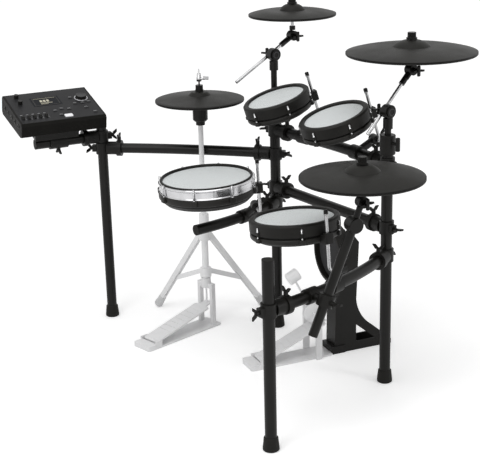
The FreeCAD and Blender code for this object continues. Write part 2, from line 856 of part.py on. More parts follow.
def boomed_cymbal(name, diameter, rise, post, boom_height, lean_deg, front, tail, turn_deg):
    shape, low, top = cymbal(diameter)
    heading, side = boom_axes(turn_deg, lean_deg)
    centre = post + up * boom_height
    level = boom_height + rise
    sleeve_offset = knuckle_width + boom_sleeve_d / 2 - boom_d / 4
    line = centre + side * sleeve_offset
    tip = line + heading * front
    half = knuckle_width
    disc = along(centre, side, knuckle_d / 2, face_gap / 2, half)
    pin = along(centre, side, knuckle_pin_d / 2, -half - overrun, half)
    cap = along(centre, side, knuckle_cap_d / 2, -half - face_gap - knuckle_cap, -half - face_gap)
    handle = wing(line + side * (boom_sleeve_d / 2 - bolt_shank / 2), side, 90, bolt_shank / 2)
    grip = along(line, heading, boom_sleeve_d / 2, -boom_sleeve_length / 2, boom_sleeve_length / 2)
    rod_end = front - tilter_d / 2 - face_gap
    rod = along(line, heading, boom_d / 2, -tail, rod_end - boom_socket / 2)
    socket = along(line, heading, boom_socket_d / 2, rod_end - boom_socket, rod_end)
    shank = along(tip - side * (tilter_width / 2), heading, tilter_width / 2 - face_gap, -tilter_d, 0)
    end = along(tip, side, tilter_d / 2, -tilter_width, -face_gap / 2)
    boom = fused([disc, pin, cap, handle, grip, rod, socket, shank, end])
    boom = boom.cut(along(tip, side, tilter_pin_d / 2 + run_gap, -tilter_width - overrun, overrun))
    stud_at = V(tip.x, tip.y, 0)
    parts[name + "_boom"] = [boom]
    parts[name + "_tilter"] = tilter(tip, side, -1, level + low, level + top)
    pad = shape.copy()
    pad.translate(stud_at + up * level)
    parts[name + "_pad"] = [pad]
    pivots[name + "_boom"] = (centre, side)
    pivots[name + "_tilter"] = (tip, side)
    pivots[name + "_rock"] = (stud_at + up * (level + low + seat_sink), side)
    knuckle = along(centre, side, knuckle_d / 2, -half, -face_gap / 2)
    stem_top = boom_height - knuckle_d / 2 - face_gap
    stem = along(post, up, post_d / 2, pillar_top - post_seat, stem_top)
    stem = stem.cut(along(post, up, post_d / 2 - post_wall, pillar_top - post_seat - overrun,
                          stem_top - post_d))
    neck = along(post - side * half / 2, up, half / 2 - face_gap, stem_top - overrun, boom_height)
    collar = along(post, up, knuckle_collar_d / 2, stem_top - knuckle_collar, stem_top)
    solid = fused([stem, collar, knuckle, neck])
    solid = solid.cut(along(centre, side, knuckle_pin_d / 2 + run_gap, -half - overrun, overrun))
    posts.append(solid)
    collar_low = pillar_top - post_collar_grip
    collar_top = pillar_top + post_collar_height - post_collar_grip
    holder = along(post, up, post_collar_d / 2, collar_low, collar_top)
    holder = holder.makeFillet(foot_groove, [edge for edge in holder.Edges if edge.Closed])
    cuts = [along(post, up, tube_r + fit_gap, collar_low - overrun, pillar_top)]
    cuts.append(along(post, up, post_d / 2 + fit_gap, pillar_top - overrun, collar_top + overrun))
    face = post - side * (post_collar_d / 2) + up * ((pillar_top + collar_top) / 2)
    cuts.append(bar_handle(face, side * -1))
    castings.append(holder.cut(cuts))


def right_crash():
    shape, low, top = cymbal(right_crash_d)
    level = right_arm_height + right_crash_rise
    lean = V(right_post_lean_x, right_post_lean_y, right_post_rise).normalize()
    side = V(lean.y, -lean.x, 0).normalize()
    hinge = V(right_pillar.x + right_crash_out, right_crash_y, level - right_crash_drop)
    drop = (hinge.z - right_arm_height) / lean.z
    grip = hinge - lean * drop
    knuckle = along(hinge, side, tilter_d / 2, -tilter_width, -face_gap / 2)
    post_top = hinge - lean * (tilter_d / 2 + face_gap)
    ratchet_at = hinge - lean * ratchet_drop
    base = grip - lean * right_post_low
    stem = along(base, lean, right_post_d / 2, 0, (ratchet_at - base).Length)
    ratchet = along(ratchet_at, side, ratchet_d / 2, -ratchet_width / 2, ratchet_width / 2)
    ratchet = ratchet.makeFillet(foot_groove, [edge for edge in ratchet.Edges if edge.Closed])
    arm = along(ratchet_at, lean, boom_socket_d / 2, 0, (post_top - ratchet_at).Length)
    neck = along(post_top - side * (tilter_width / 2), lean, tilter_width / 2 - face_gap, -overrun,
                 tilter_d / 2)
    solid = fused([stem, ratchet, arm, knuckle, neck])
    solid = solid.cut(along(hinge, side, tilter_pin_d / 2 + run_gap, -tilter_width - overrun, overrun))
    posts.append(solid)
    parts["right_crash_tilter"] = tilter(hinge, side, 1, level + low, level + top)
    pad = shape.copy()
    pad.translate(V(hinge.x, hinge.y, level))
    parts["right_crash_pad"] = [pad]
    pivots["right_crash_tilter"] = (hinge, side)
    pivots["right_crash_rock"] = (V(hinge.x, hinge.y, level + low + seat_sink), side)
    rod_clamp(right_arm, nearest_on(right_arm, grip), grip, lean, right_post_d / 2)


posts = []
boomed_cymbal("left_crash", crash_d, left_crash_rise, left_pillar, left_boom_height, left_boom_lean_deg,
              left_boom_front, left_boom_tail, left_boom_turn_deg)
boomed_cymbal("ride", ride_d, ride_rise, right_pillar, ride_boom_height, ride_boom_lean_deg, ride_boom_front,
              ride_boom_tail, ride_boom_turn_deg)
right_crash()
parts["cymbal_posts"] = posts


# Pedal boards: made with the heel's hinge at zero and the toe towards +Y
def footboard(slope_deg, toe):
    half = board_width / 2
    board = slab((-half, half), (-board_round, board_length), (-board_thick / 2, board_thick / 2))
    corners = [edge for edge in board.Edges if edge.Vertexes[0].Point.x == edge.Vertexes[1].Point.x
               and edge.Vertexes[0].Point.y == edge.Vertexes[1].Point.y]
    board = board.makeFillet(board_round, corners)
    pitch = (board_length - heel_length) / (board_grip_count + 1)
    grooves = []
    for index in range(board_grip_count):
        middle = heel_length + pitch * (index + 1 / 2)
        top = board_thick / 2
        grooves.append(slab((-half + board_round, half - board_round),
                            (middle - board_grip_width / 2, middle + board_grip_width / 2),
                            (top - board_grip_depth, top + overrun)))
    tongue = slab((-toe_width / 2, toe_width / 2), (board_length - board_round, board_length + toe),
                  (-board_thick / 2, board_thick / 2))
    board = fused([board.cut(grooves), tongue])
    board = placed(board, station(zero, turn(V(1, 0, 0), slope_deg)))
    knuckle = along(zero, V(1, 0, 0), hinge_pin_d, -hinge_knuckle / 2, hinge_knuckle / 2)
    pin = along(zero, V(1, 0, 0), hinge_pin_d / 2, -base_width / 2, base_width / 2)
    return fused([board, knuckle, pin])


def pedal_base(back, front, hinge_y):
    # A floor plate with the heel block and the two ears that hold the board's hinge pin
    half = base_width / 2
    plate = rounded_upright(slab((-half, half), (-back, front), (0, base_thick)), board_round)
    heel = slab((-half, half), (-back, hinge_y - hinge_pin_d * 2), (0, heel_height))
    heel = rounded_upright(heel, board_round)
    ears = []
    for low in (-half, half - hinge_ear):
        ear = slab((low, low + hinge_ear), (hinge_y - hinge_pin_d * 3, hinge_y + hinge_pin_d * 2),
                   (0, hinge_height + hinge_pin_d))
        ears.append(ear)
    solid = fused([plate, heel] + ears)
    pin = along(V(0, hinge_y, hinge_height), V(1, 0, 0), hinge_pin_d / 2 + run_gap, -base_width, base_width)
    room = along(V(0, hinge_y, hinge_height), V(1, 0, 0), hinge_pin_d + face_gap,
                 -hinge_knuckle / 2 - face_gap,
                 hinge_knuckle / 2 + face_gap)
    return solid.cut([pin, room])


def toe_top(reach, slope_deg):
    # The height of the board's upper face at a distance from its hinge
    slope = math.radians(slope_deg)
    return hinge_height + reach * math.tan(slope) + board_thick / 2 / math.cos(slope)


def chain(top, bottom, side):
    # A short chain of rings standing on the board, each turned a quarter against the next
    links = []
    pitch = chain_link_long - chain_link_d * 2 - face_gap * 2
    count = int((top.z - bottom.z - chain_seat - chain_link_long) / pitch) + 1
    for index in range(count):
        half = chain_link_wide / 2 - chain_link_d / 2
        tall = chain_link_long / 2 - chain_link_wide / 2
        middle = bottom + up * (chain_seat + chain_link_long / 2 + pitch * index)
        across, normal = (side.cross(up), side) if index % 2 else (side, side.cross(up))
        bars = [along(middle + across * offset, up, chain_link_d / 2, -tall, tall)
                for offset in (-half, half)]
        ends = []
        for sign in (-1, 1):
            end = Part.makeTorus(half, chain_link_d / 2, middle + up * (tall * sign), normal)
            keep = along(middle + up * (tall * sign), up * sign, chain_link_wide, 0, chain_link_wide)
            ends.append(end.common(keep))
        links.append(fused(bars + ends))
    return links


# Hi-hat: stand, pedal frame, board, pull rod with clutch, pad
def hat_shape():
    edge_r = hat_d / 2
    bell_r = hat_bell_d / 2
    hub_r = hat_hub_d / 2
    hole_r = stud_hole_d / 2
    top = hat_bow + hat_bell
    return turned([(hole_r, hat_bow - hat_hub_drop), (hub_r, hat_bow - hat_hub_drop), (hub_r, hat_bow),
                   (bell_r, hat_bow), (edge_r - hat_skirt, 0), (edge_r, 0), (edge_r, cymbal_edge),
                   (edge_r - hat_skirt, cymbal_edge + cymbal_thick / 2), (bell_r, hat_bow + cymbal_thick),
                   (bell_r - hat_skirt, top), (hub_r, top + cymbal_thick / 2),
                   (hole_r, top + cymbal_thick / 2)])


def hat_leg(angle_deg):
    # A leg of two flat strips from the sliding hub to a rubber foot, with a brace to the lower hub
    heading = turn(up, angle_deg).multVec(V(0, -1, 0))
    side = heading.cross(up)
    foot_at = heading * hat_leg_reach + up * (hat_leg_foot_d / 2)
    top_at = heading * (leg_hub_d / 2) + up * leg_hub_height
    low_at = heading * (leg_hub_d / 2) + up * brace_hub_height
    joint = top_at + (foot_at - top_at) * brace_share

    def strip(start, end, offset):
        run = end - start
        frame = station(start + side * offset, FreeCAD.Rotation(side, V(0, 0, 0), run, "ZXY"))
        bar_piece = slab((-hat_leg_thick / 2, hat_leg_thick / 2), (-hat_leg_width / 2, hat_leg_width / 2),
                         (-hat_leg_width / 2, run.Length + hat_leg_width / 2))
        return placed(bar_piece, frame)

    shift = (hat_leg_gap + hat_leg_thick) / 2
    run = (foot_at - top_at).normalize()
    strips = [strip(top_at, foot_at - run * hat_leg_foot, offset) for offset in (-shift, shift)]
    brace = strip(low_at, joint, 0)
    rivet = along(joint, side, hat_rivet_d / 2, -hat_leg_gap, hat_leg_gap)
    hole = along(joint, side, hat_rivet_d / 2 + fit_gap, -hat_leg_gap - overrun, hat_leg_gap + overrun)
    foot = along(foot_at, run, hat_leg_foot_d / 2, -hat_leg_foot * 2, 0)
    floor = slab((-hat_leg_reach * 2, hat_leg_reach * 2), (-hat_leg_reach * 2, hat_leg_reach * 2),
                 (-hat_leg_foot * 2, 0))
    hub = along(zero, up, leg_hub_d / 2 + fit_gap, 0, lower_tube_top)
    return [fused(strips + [foot.cut(floor)]).cut([hub, hole]), fused([brace, rivet]).cut(hub)]


def hihat():
    along_arm = left_arm.length * hat_arm_share
    aside = left_arm.tangent(along_arm).cross(up) * (tube_r + upper_tube_d / 2 + hat_arm_gap)
    beside = left_arm.point(along_arm) + aside
    origin = V(beside.x, beside.y, 0)
    frame = station(origin, turn(up, hat_turn_deg))
    hinge_y = -hat_base_back + heel_length
    base = pedal_base(hat_base_back, hat_base_front, hinge_y)
    uprights = []
    for sign in (-1, 1):
        middle = sign * hat_post_spread / 2
        uprights.append(slab((middle - hat_post_width / 2, middle + hat_post_width / 2),
                             (-hat_post_depth / 2, hat_post_depth / 2), (0, hat_frame_top)))
    half = (hat_post_spread + hat_post_width) / 2
    bridge = slab((-half, half), (-hat_post_depth / 2, hat_post_depth / 2),
                  (hat_frame_top - hat_bridge, hat_frame_top))
    socket = along(zero, up, lower_tube_d / 2 + clamp_wall, hat_frame_top - hat_bridge,
                   hat_frame_top + hat_bridge)
    frame_solid = fused([base] + uprights + [bridge, socket])
    hole = along(zero, up, lower_tube_d / 2 + fit_gap, hat_frame_top, hat_frame_top + hat_bridge * 2)
    bore = along(zero, up, pull_rod_d / 2 + run_gap, 0, hat_frame_top + overrun)
    bore = bore.cut(slab((-half, half), (-half, half), (0, hat_frame_top - hat_bridge - overrun)))
    parts["hihat_pedal_frame"] = [placed(frame_solid.cut([hole, bore]), frame)]
    board_frame = frame.multiply(station(V(0, hinge_y, hinge_height), turn(up, 0)))
    parts["hihat_footboard"] = [placed(footboard(hat_board_slope_deg, hat_toe), board_frame)]
    pivots["hihat_pedal"] = (board_frame.multVec(zero), frame.Rotation.multVec(V(1, 0, 0)))
    seat_low = hat_z + hat_bow - hat_hub_drop + seat_sink - seat_d / 2
    sensor_top = seat_low - hat_travel - sensor_rest
    sensor_low = sensor_top - sensor_height
    tube_top = sensor_low - sensor_collar_height
    rod_room = pull_rod_d / 2 + run_gap
    lower = ring(zero, up, lower_tube_d / 2, upper_tube_d / 2 + fit_gap, hat_frame_top, lower_tube_top)
    upper = ring(zero, up, upper_tube_d / 2, rod_room, lower_tube_top - upper_tube_overlap, tube_top)
    lock = ring(zero, up, stand_lock_d / 2, lower_tube_d / 2 + fit_gap, lower_tube_top - stand_lock_height,
                lower_tube_top)
    lock_cap = ring(zero, up, stand_lock_d / 2, upper_tube_d / 2 + fit_gap, lower_tube_top,
                    lower_tube_top + stand_lock_height / 2)
    hubs = []
    for height in (leg_hub_height, brace_hub_height):
        hubs.append(ring(zero, up, leg_hub_d / 2, lower_tube_d / 2 + fit_gap, height - leg_hub_length / 2,
                         height + leg_hub_length / 2))
    collar = ring(zero, up, sensor_collar_d / 2, rod_room, tube_top, sensor_low)
    case = turned([(rod_room, sensor_low), (sensor_d / 2 - clamp_wall, sensor_low),
                   (sensor_d / 2, sensor_low + clamp_wall),
                   (sensor_d / 2, sensor_top - clamp_wall), (sensor_d / 2 - clamp_wall, sensor_top),
                   (rod_room, sensor_top)])
    solids = [lower, upper, fused([lock, lock_cap]), fused([collar, case])] + hubs
    for angle in (hat_leg_1_deg, hat_leg_2_deg):
        solids += hat_leg(angle)
    parts["hihat_stand"] = [placed(solid, station(origin, turn(up, 0))) for solid in solids]
    pad = on_seat(hat_shape(), hat_bow - hat_hub_drop)
    pad.translate(origin + up * hat_z)
    parts["hihat_pad"] = [pad]
    pad_low = hat_z + hat_bow - hat_hub_drop
    pad_top = hat_z + hat_bow + hat_bell + cymbal_thick / 2
    pivots["hihat_rock"] = (origin + up * (pad_low + seat_sink), frame.Rotation.multVec(V(1, 0, 0)))
    seat = Part.makeSphere(seat_d / 2, up * (pad_low + seat_sink))
    over = pad_top + felt_gap
    felt_cone = (clutch_d - sleeve_d) / 2 * math.tan(math.radians(felt_slope_deg))
    clutch = turned([(0, over), (sleeve_d / 2, over), (clutch_d / 2, over + felt_cone),
                     (clutch_d / 2, over + clutch_felt), (nut_d / 2, over + clutch_felt),
                     (nut_d / 2, over + clutch_height), (0, over + clutch_height)])
    toe_z = toe_top(-hinge_y, hat_board_slope_deg)
    links = chain(up * (hat_frame_top - hat_bridge - face_gap), up * toe_z, V(1, 0, 0))
    rod_low = links[-1].BoundBox.ZMax + face_gap
    rod = along(zero, up, pull_rod_d / 2, rod_low, hat_z + pull_rod_top)
    rod = fused([rod, seat, clutch])
    parts["hihat_pull_rod"] = [placed(solid, frame) for solid in [rod] + links]


hihat()


# Kick tower, pad and pedal: made about the tower's front on the floor, the player towards -Y
def kick_disc(radius, front, back):
    return along(up * kick_pad_height, V(0, 1, 0), radius, front, back)


def tower():
    half = tower_width / 2
    rear = kick_rim_deep - kick_rim_front
    outline = [V(0, 0, 0), V(0, tower_tail, 0), V(0, tower_tail, tower_tail_height),
               V(0, tower_flare_back, tower_flare_height)]
    waist = V(0, tower_waist, tower_waist_height)
    bend = V(0, (tower_flare_back + tower_waist * 3) / 4, (tower_flare_height + tower_waist_height) / 2)
    edges = [Part.LineSegment(outline[index], outline[index + 1]).toShape() for index in range(3)]
    edges.append(Part.Arc(outline[3], bend, waist).toShape())
    rest = [waist, V(0, tower_back, tower_top - tower_back / 3), V(0, tower_back * 3 / 4, tower_top),
            V(0, rear, tower_top), V(0, rear, kick_pad_height - kick_pad_d / 2),
            V(0, plate_thick, tower_waist_height),
            outline[0]]
    edges += [Part.LineSegment(rest[index], rest[index + 1]).toShape() for index in range(len(rest) - 1)]
    cheek = Part.Face(Part.Wire(edges)).extrude(V(plate_thick, 0, 0))
    window = polygon([V(-overrun, tower_waist, tower_hole), V(-overrun, tower_hole_back, tower_hole),
                      V(-overrun, tower_waist, tower_hole_top)]).extrude(V(plate_thick + overrun * 2, 0, 0))
    cheek = cheek.cut(window)
    cheeks = []
    for offset in (-half, half - plate_thick):
        cheeks.append(placed(cheek, station(V(offset, 0, 0), turn(up, 0))))
    front = polygon([V(0, 0, 0), V(0, plate_thick, 0), V(0, plate_thick * 2, tower_waist_height),
                     V(0, rear + plate_thick, kick_pad_height - kick_pad_d / 2),
                     V(0, rear + plate_thick, tower_top),
                     V(0, rear, tower_top), V(0, rear, kick_pad_height - kick_pad_d / 2),
                     V(0, plate_thick, tower_waist_height)]).extrude(V(tower_width, 0, 0))
    front.translate(V(-half, 0, 0))
    foot = slab((-half, half), (0, tower_tail), (0, plate_thick))
    block = slab((-tower_clamp_width / 2, tower_clamp_width / 2),
                 (-tower_clamp_deep / 4, tower_clamp_deep * 3 / 4),
                 (0, tower_clamp_height))
    slot = slab((-tower_clamp_width, tower_clamp_width), (-tower_clamp_deep, -pedal_stop + overrun / 2),
                (-overrun, base_thick + face_gap))
    spurs = [along(V(sign * half, tower_tail - tower_spur_d, 0), up, tower_spur_d / 2, 0, tower_tail_height)
             for sign in (-1, 1)]
    return fused(cheeks + [front, foot, block] + spurs).cut(slot)


def kick_pedal(frame):
    hinge_y = -pedal_length + heel_length
    base = pedal_base(pedal_length, -pedal_stop, hinge_y)
    axle_y = -pedal_axle_back
    axle = V(0, axle_y, pedal_axle_height)
    across = V(1, 0, 0)
    uprights = []
    for sign in (-1, 1):
        middle = sign * pedal_post_spread / 2
        low, high = sorted((middle, middle + sign * pedal_post_width))
        uprights.append(slab((low, high), (axle_y - pedal_post_depth / 2, axle_y + pedal_post_depth / 2),
                             (0, pedal_axle_height + pedal_post_depth / 2)))
    sill = slab((-pedal_post_spread / 2 - pedal_post_width, pedal_post_spread / 2 + pedal_post_width),
                (axle_y - pedal_post_depth / 2, axle_y + pedal_post_depth / 2), (0, base_thick))
    solid = fused([base, sill] + uprights)
    reach = pedal_post_spread / 2 + pedal_post_width
    bearing = along(axle, across, pedal_axle_d / 2 + run_gap, -reach - overrun, reach + overrun)
    parts["pedal_base"] = [placed(solid.cut(bearing), frame)]
    board = placed(footboard(kick_board_slope_deg, kick_toe),
                   station(V(0, hinge_y, hinge_height), turn(up, 0)))
    parts["pedal_footboard"] = [placed(board, frame)]
    pivots["kick_pedal"] = (frame.multVec(V(0, hinge_y, hinge_height)), frame.Rotation.multVec(across))
    shaft_heading = turn(across, beater_lean_deg).multVec(up)
    shaft = along(axle, across, pedal_axle_d / 2, -reach, reach)
    cam = along(axle, across, pedal_cam_r, -pedal_cam_width / 2, pedal_cam_width / 2)
    groove = ring(axle, across, pedal_cam_r + overrun, pedal_cam_r - chain_link_wide, -pedal_cam_groove / 2,
                  pedal_cam_groove / 2)
    chain_y = axle_y + pedal_cam_r - chain_link_wide / 2 + face_gap
    toe_z = toe_top(chain_y - hinge_y, kick_board_slope_deg)
    links = chain(V(0, chain_y, pedal_axle_height + pedal_cam_r / 2), V(0, chain_y, toe_z), across)
    parts["pedal_chain"] = [placed(link, frame) for link in links]
    pivots["chain"] = (frame.multVec(V(0, chain_y, toe_z)), frame.Rotation.multVec(across))
    stem = along(axle, shaft_heading, beater_shaft_d / 2, 0, beater_reach + beater_head_d / 4)
    head_at = axle + shaft_heading * beater_reach
    strike = turn(across, beater_lean_deg).multVec(V(0, 1, 0))
    head = along(head_at, strike, beater_head_d / 2, -beater_head_length / 2, beater_head_length / 2)
    head = head.makeFillet(clamp_wall / 2, [edge for edge in head.Edges if edge.Closed])
    beater = fused([shaft, cam.cut(groove), stem, head])
    parts["pedal_beater"] = [placed(beater, frame)]
    pivots["beater"] = (frame.multVec(axle), frame.Rotation.multVec(across))


def kick():
    frame = station(V(kick_x, kick_y, 0), turn(up, kick_turn_deg))
    radius = kick_pad_d / 2
    rear = kick_rim_deep - kick_rim_front
    inner = radius - kick_rim_wall
    shell = kick_disc(radius, -kick_rim_front, rear)
    lip = [edge for edge in shell.Edges if edge.Closed and edge.CenterOfMass.y < 0]
    shell = shell.makeFillet(rim_round, lip)
    parts["kick_rim"] = [placed(shell.cut(kick_disc(inner, -kick_rim_front - overrun, kick_face_thick)),
                                frame)]
    face = kick_disc(inner - fit_gap, 0, kick_face_thick)
    parts["kick_head"] = [placed(face, frame)]
    parts["kick_tower"] = [placed(tower(), frame)]
    kick_pedal(frame)


kick()


# Sound module: made about the middle of its top panel, the front towards -Y, the panel facing up
def knob(diameter, height):
    body = along(zero, up, diameter / 2, face_gap, height)
    body = body.makeFillet(height / 10,
                           [edge for edge in body.Edges if edge.Closed and edge.CenterOfMass.z > height / 2])
    return fused([body, along(zero, up, shaft_d / 2, -shaft_depth, height / 2)])


def module():
    frame = station(V(left_leg.x - module_out, left_leg.y - module_back_off, module_arm_height + module_rise),
                    turn(up, module_turn_deg).multiply(turn(V(1, 0, 0), module_tilt_deg)))
    half_w = module_width / 2
    half_d = module_depth / 2
    profile = [V(0, -half_d, -module_chamfer), V(0, module_chamfer - half_d, 0),
               V(0, half_d - module_chamfer, 0),
               V(0, half_d, -module_chamfer), V(0, half_d, module_chamfer - module_back),
               V(0, half_d - module_chamfer, -module_back), V(0, module_chamfer * 2 - half_d, -module_front),
               V(0, -half_d, module_chamfer - module_front)]
    case = polygon(profile).extrude(V(module_width, 0, 0))
    case.translate(V(-half_w, 0, 0))
    cheek_edges = [edge for edge in case.Edges if abs(abs(edge.CenterOfMass.x) - half_w) < fit_gap]
    case = case.makeFillet(module_round / 2, cheek_edges)
    panel_w = half_w - panel_inset
    panel_d = half_d - module_chamfer - panel_inset / 2
    panel = slab((fit_gap - panel_w, panel_w - fit_gap), (fit_gap - panel_d, panel_d - fit_gap),
                 (-panel_thick, 0))
    cuts = [slab((-panel_w, panel_w), (-panel_d, panel_d), (-panel_thick, overrun))]
    panel_cuts = []
    show_x = display_x_share * module_width
    show_y = display_y_share * module_depth
    window = slab((show_x - display_width / 2, show_x + display_width / 2),
                  (show_y - display_depth / 2, show_y + display_depth / 2), (-display_thick, overrun))
    panel_cuts.append(window)
    glass = slab((show_x - display_width / 2 + fit_gap, show_x + display_width / 2 - fit_gap),
                 (show_y - display_depth / 2 + fit_gap, show_y + display_depth / 2 - fit_gap),
                 (-display_thick, 0))
    controls = {"module_display": glass}
    turning = {"value_dial": (dial_d, dial_height, dial_x_share, dial_y_share),
               "volume_knob": (knob_d, knob_height, knob_x_share, knob_1_y_share),
               "phones_knob": (knob_d, knob_height, knob_x_share, knob_2_y_share)}
    for name, (diameter, height, x_share, y_share) in turning.items():
        spot = V(x_share * module_width, y_share * module_depth, 0)
        bore = along(spot, up, shaft_d / 2 + run_gap, -shaft_depth - face_gap, overrun)
        cuts.append(bore)
        panel_cuts.append(bore)
        controls[name] = placed(knob(diameter, height), station(spot, turn(up, 0)))
        pivots[name] = (frame.multVec(spot), frame.Rotation.multVec(up))
    slot_half = fader_stem_long / 2 + fader_travel + face_gap
    stem_half = fader_slot_width / 2 - run_gap
    cap_half = fader_cap_width / 2
    row_y = fader_y_share * module_depth
    for index in range(fader_count):
        x = fader_x_share * module_width + fader_pitch * (index - (fader_count - 1) / 2)
        slot = slab((x - fader_slot_width / 2, x + fader_slot_width / 2),
                    (row_y - slot_half, row_y + slot_half),
                    (-button_depth - face_gap, overrun))
        cuts.append(slot)
        panel_cuts.append(slot)
        stem = slab((x - stem_half, x + stem_half),
                    (row_y - fader_stem_long / 2, row_y + fader_stem_long / 2),
                    (-button_depth, fader_cap_height / 2))
        long = fader_cap_long / 2
        cap = polygon([V(x - cap_half, row_y - long, face_gap), V(x - cap_half, row_y + long, face_gap),
                       V(x - cap_half, row_y + long / 2, fader_cap_height),
                       V(x - cap_half, row_y, fader_cap_height - button_rise / 2),
                       V(x - cap_half, row_y - long / 2, fader_cap_height)]).extrude(V(fader_cap_width, 0,
                                                                                       0))
        name = "fader_" + str(index + 1)
        controls[name] = fused([stem, cap])
        pivots[name] = (frame.multVec(V(x, row_y, 0)), frame.Rotation.multVec(V(0, 1, 0)))
    key_x = button_x_share * module_width
    key_y = button_y_share * module_depth
    wide = button_width / 2
    long = button_long / 2
    well = slab((key_x - wide - face_gap, key_x + wide + face_gap),
                (key_y - long - face_gap, key_y + long + face_gap),
                (-button_depth - button_travel - face_gap, overrun))
    cuts.append(well)
    panel_cuts.append(well)
    key = slab((key_x - wide, key_x + wide), (key_y - long, key_y + long), (-button_depth, button_rise))
    controls["lit_button"] = rounded_upright(key, button_rise)
    pivots["lit_button"] = (frame.multVec(V(key_x, key_y, 0)), frame.Rotation.multVec(up))
    for index in range(jack_count):
        y = half_d - module_depth * (index + 1) / (jack_count + 1)
        low = -module_front / 2 - (y + half_d) / module_depth * (module_back - module_front) / 2
        cuts.append(along(V(-half_w, y, low), V(1, 0, 0), jack_d / 2, -overrun, jack_depth))
    controls["module_case"] = case.cut(cuts)
    controls["module_panel"] = panel.cut(panel_cuts)
    for name, shape in controls.items():
        parts[name] = [placed(shape, frame)]
    module_mount(frame)


def module_mount(frame):
    # A plate under the case on a web that ends in a split sleeve round the module arm
    slope = math.atan2(module_back - module_front, module_depth - module_chamfer * 3)
    fall = (module_depth / 2 - module_chamfer * 2) * math.tan(slope)
    under = V(0, 0, -module_front - fall - fit_gap)
    seat = frame.multiply(station(under, turn(V(1, 0, 0), -math.degrees(slope))))
    half_w = mount_plate_width / 2
    half_d = mount_plate_depth / 2
    plate = slab((-half_w, half_w), (-half_d, half_d), (-mount_plate_thick, 0))
    plate = placed(rounded_upright(plate, board_round), seat)
    middle = seat.multVec(zero)
    heading = module_arm.heading
    distance = (middle - module_arm.start).dot(heading)
    grip = module_arm.point(distance)
    half = mount_sleeve_length / 2
    sleeve = along(grip, heading, tube_r + clamp_wall, -half, half)
    rise = middle - grip
    web = slab((-mount_web / 2, mount_web / 2), (-clamp_wall, clamp_wall), (0, rise.Length))
    web = placed(web, station(grip, FreeCAD.Rotation(heading, V(0, 0, 0), rise, "ZXY")))
    above = placed(slab((-module_width, module_width), (-module_width, module_width), (0, module_width)),
                   seat)
    lock = wing(grip - up * (tube_r + clamp_wall / 2), up * -1, 0, clamp_wall / 4)
    solid = fused([sleeve, web.cut(above), plate, lock])
    parts["module_mount"] = [solid.cut(along(grip, heading, tube_r + run_gap, -half - overrun,
                                             half + overrun))]
    pivots["module_tilt"] = (grip, heading)


module()
parts["tee_clamps"] = castings
parts["rod_clamps"] = rod_holders
parts["wing_bolts"] = bolts
parts["feet_and_caps"] = feet

# The origin is on the floor under the middle of the whole kit
box = Part.makeCompound([shape for shapes in parts.values() for shape in shapes]).optimalBoundingBox(False)
shift = V(-box.Center.x, -box.Center.y, -box.ZMin)
os.makedirs("parts", exist_ok=True)
for name, shapes in parts.items():
    node = Part.makeCompound(shapes) if len(shapes) > 1 else shapes[0]
    node.translate(shift)
    node.exportStep("parts/" + name + ".step")
    print(name, len(node.Solids), node.isValid(), round(node.Volume))
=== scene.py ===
import bpy
import bmesh
import json
import math
from mathutils import Matrix, Vector


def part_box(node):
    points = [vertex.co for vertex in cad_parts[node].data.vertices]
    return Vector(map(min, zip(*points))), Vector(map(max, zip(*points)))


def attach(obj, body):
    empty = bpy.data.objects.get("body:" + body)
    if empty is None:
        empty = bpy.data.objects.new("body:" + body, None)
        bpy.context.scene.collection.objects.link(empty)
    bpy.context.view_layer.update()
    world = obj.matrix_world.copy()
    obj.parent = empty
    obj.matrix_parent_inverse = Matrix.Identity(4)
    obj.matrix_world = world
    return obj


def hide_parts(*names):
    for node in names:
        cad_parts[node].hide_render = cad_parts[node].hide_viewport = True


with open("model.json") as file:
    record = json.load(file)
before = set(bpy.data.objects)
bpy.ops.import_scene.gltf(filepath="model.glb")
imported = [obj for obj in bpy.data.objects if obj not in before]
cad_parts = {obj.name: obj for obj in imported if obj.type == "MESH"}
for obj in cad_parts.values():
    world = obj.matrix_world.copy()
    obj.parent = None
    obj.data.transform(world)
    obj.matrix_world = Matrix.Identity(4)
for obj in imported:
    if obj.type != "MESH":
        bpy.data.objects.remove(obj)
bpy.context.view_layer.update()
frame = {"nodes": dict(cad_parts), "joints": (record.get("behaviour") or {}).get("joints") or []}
nodes = frame["nodes"]
joints = {joint["name"]: joint for joint in frame["joints"]}
scene = bpy.context.scene
print("frame loaded:", len(nodes), "nodes")

# node groups that several finishes share
groupValues = {"cloudDetail": 5.0, "cloudLow": 0.3, "cloudHigh": 0.7, "grainDetail": 3.0,
               "gapBelow": 0.62}


def groupWith(name, inputs, outputs):
    group = bpy.data.node_groups.new(name, "ShaderNodeTree")
    for label, kind in inputs:
        group.interface.new_socket(name=label, in_out="INPUT", socket_type=kind)
    for label, kind in outputs:
        group.interface.new_socket(name=label, in_out="OUTPUT", socket_type=kind)
    return group, group.nodes.new("NodeGroupInput"), group.nodes.new("NodeGroupOutput")


def mathNode(tree, operation, first, second=None, third=None):
    node = tree.nodes.new("ShaderNodeMath")
    node.operation = operation
    for index, value in enumerate((first, second, third)):
        if value is None:
            continue
        if isinstance(value, (int, float)):
            node.inputs[index].default_value = value
        else:
            tree.links.new(value, node.inputs[index])
    return node.outputs[0]


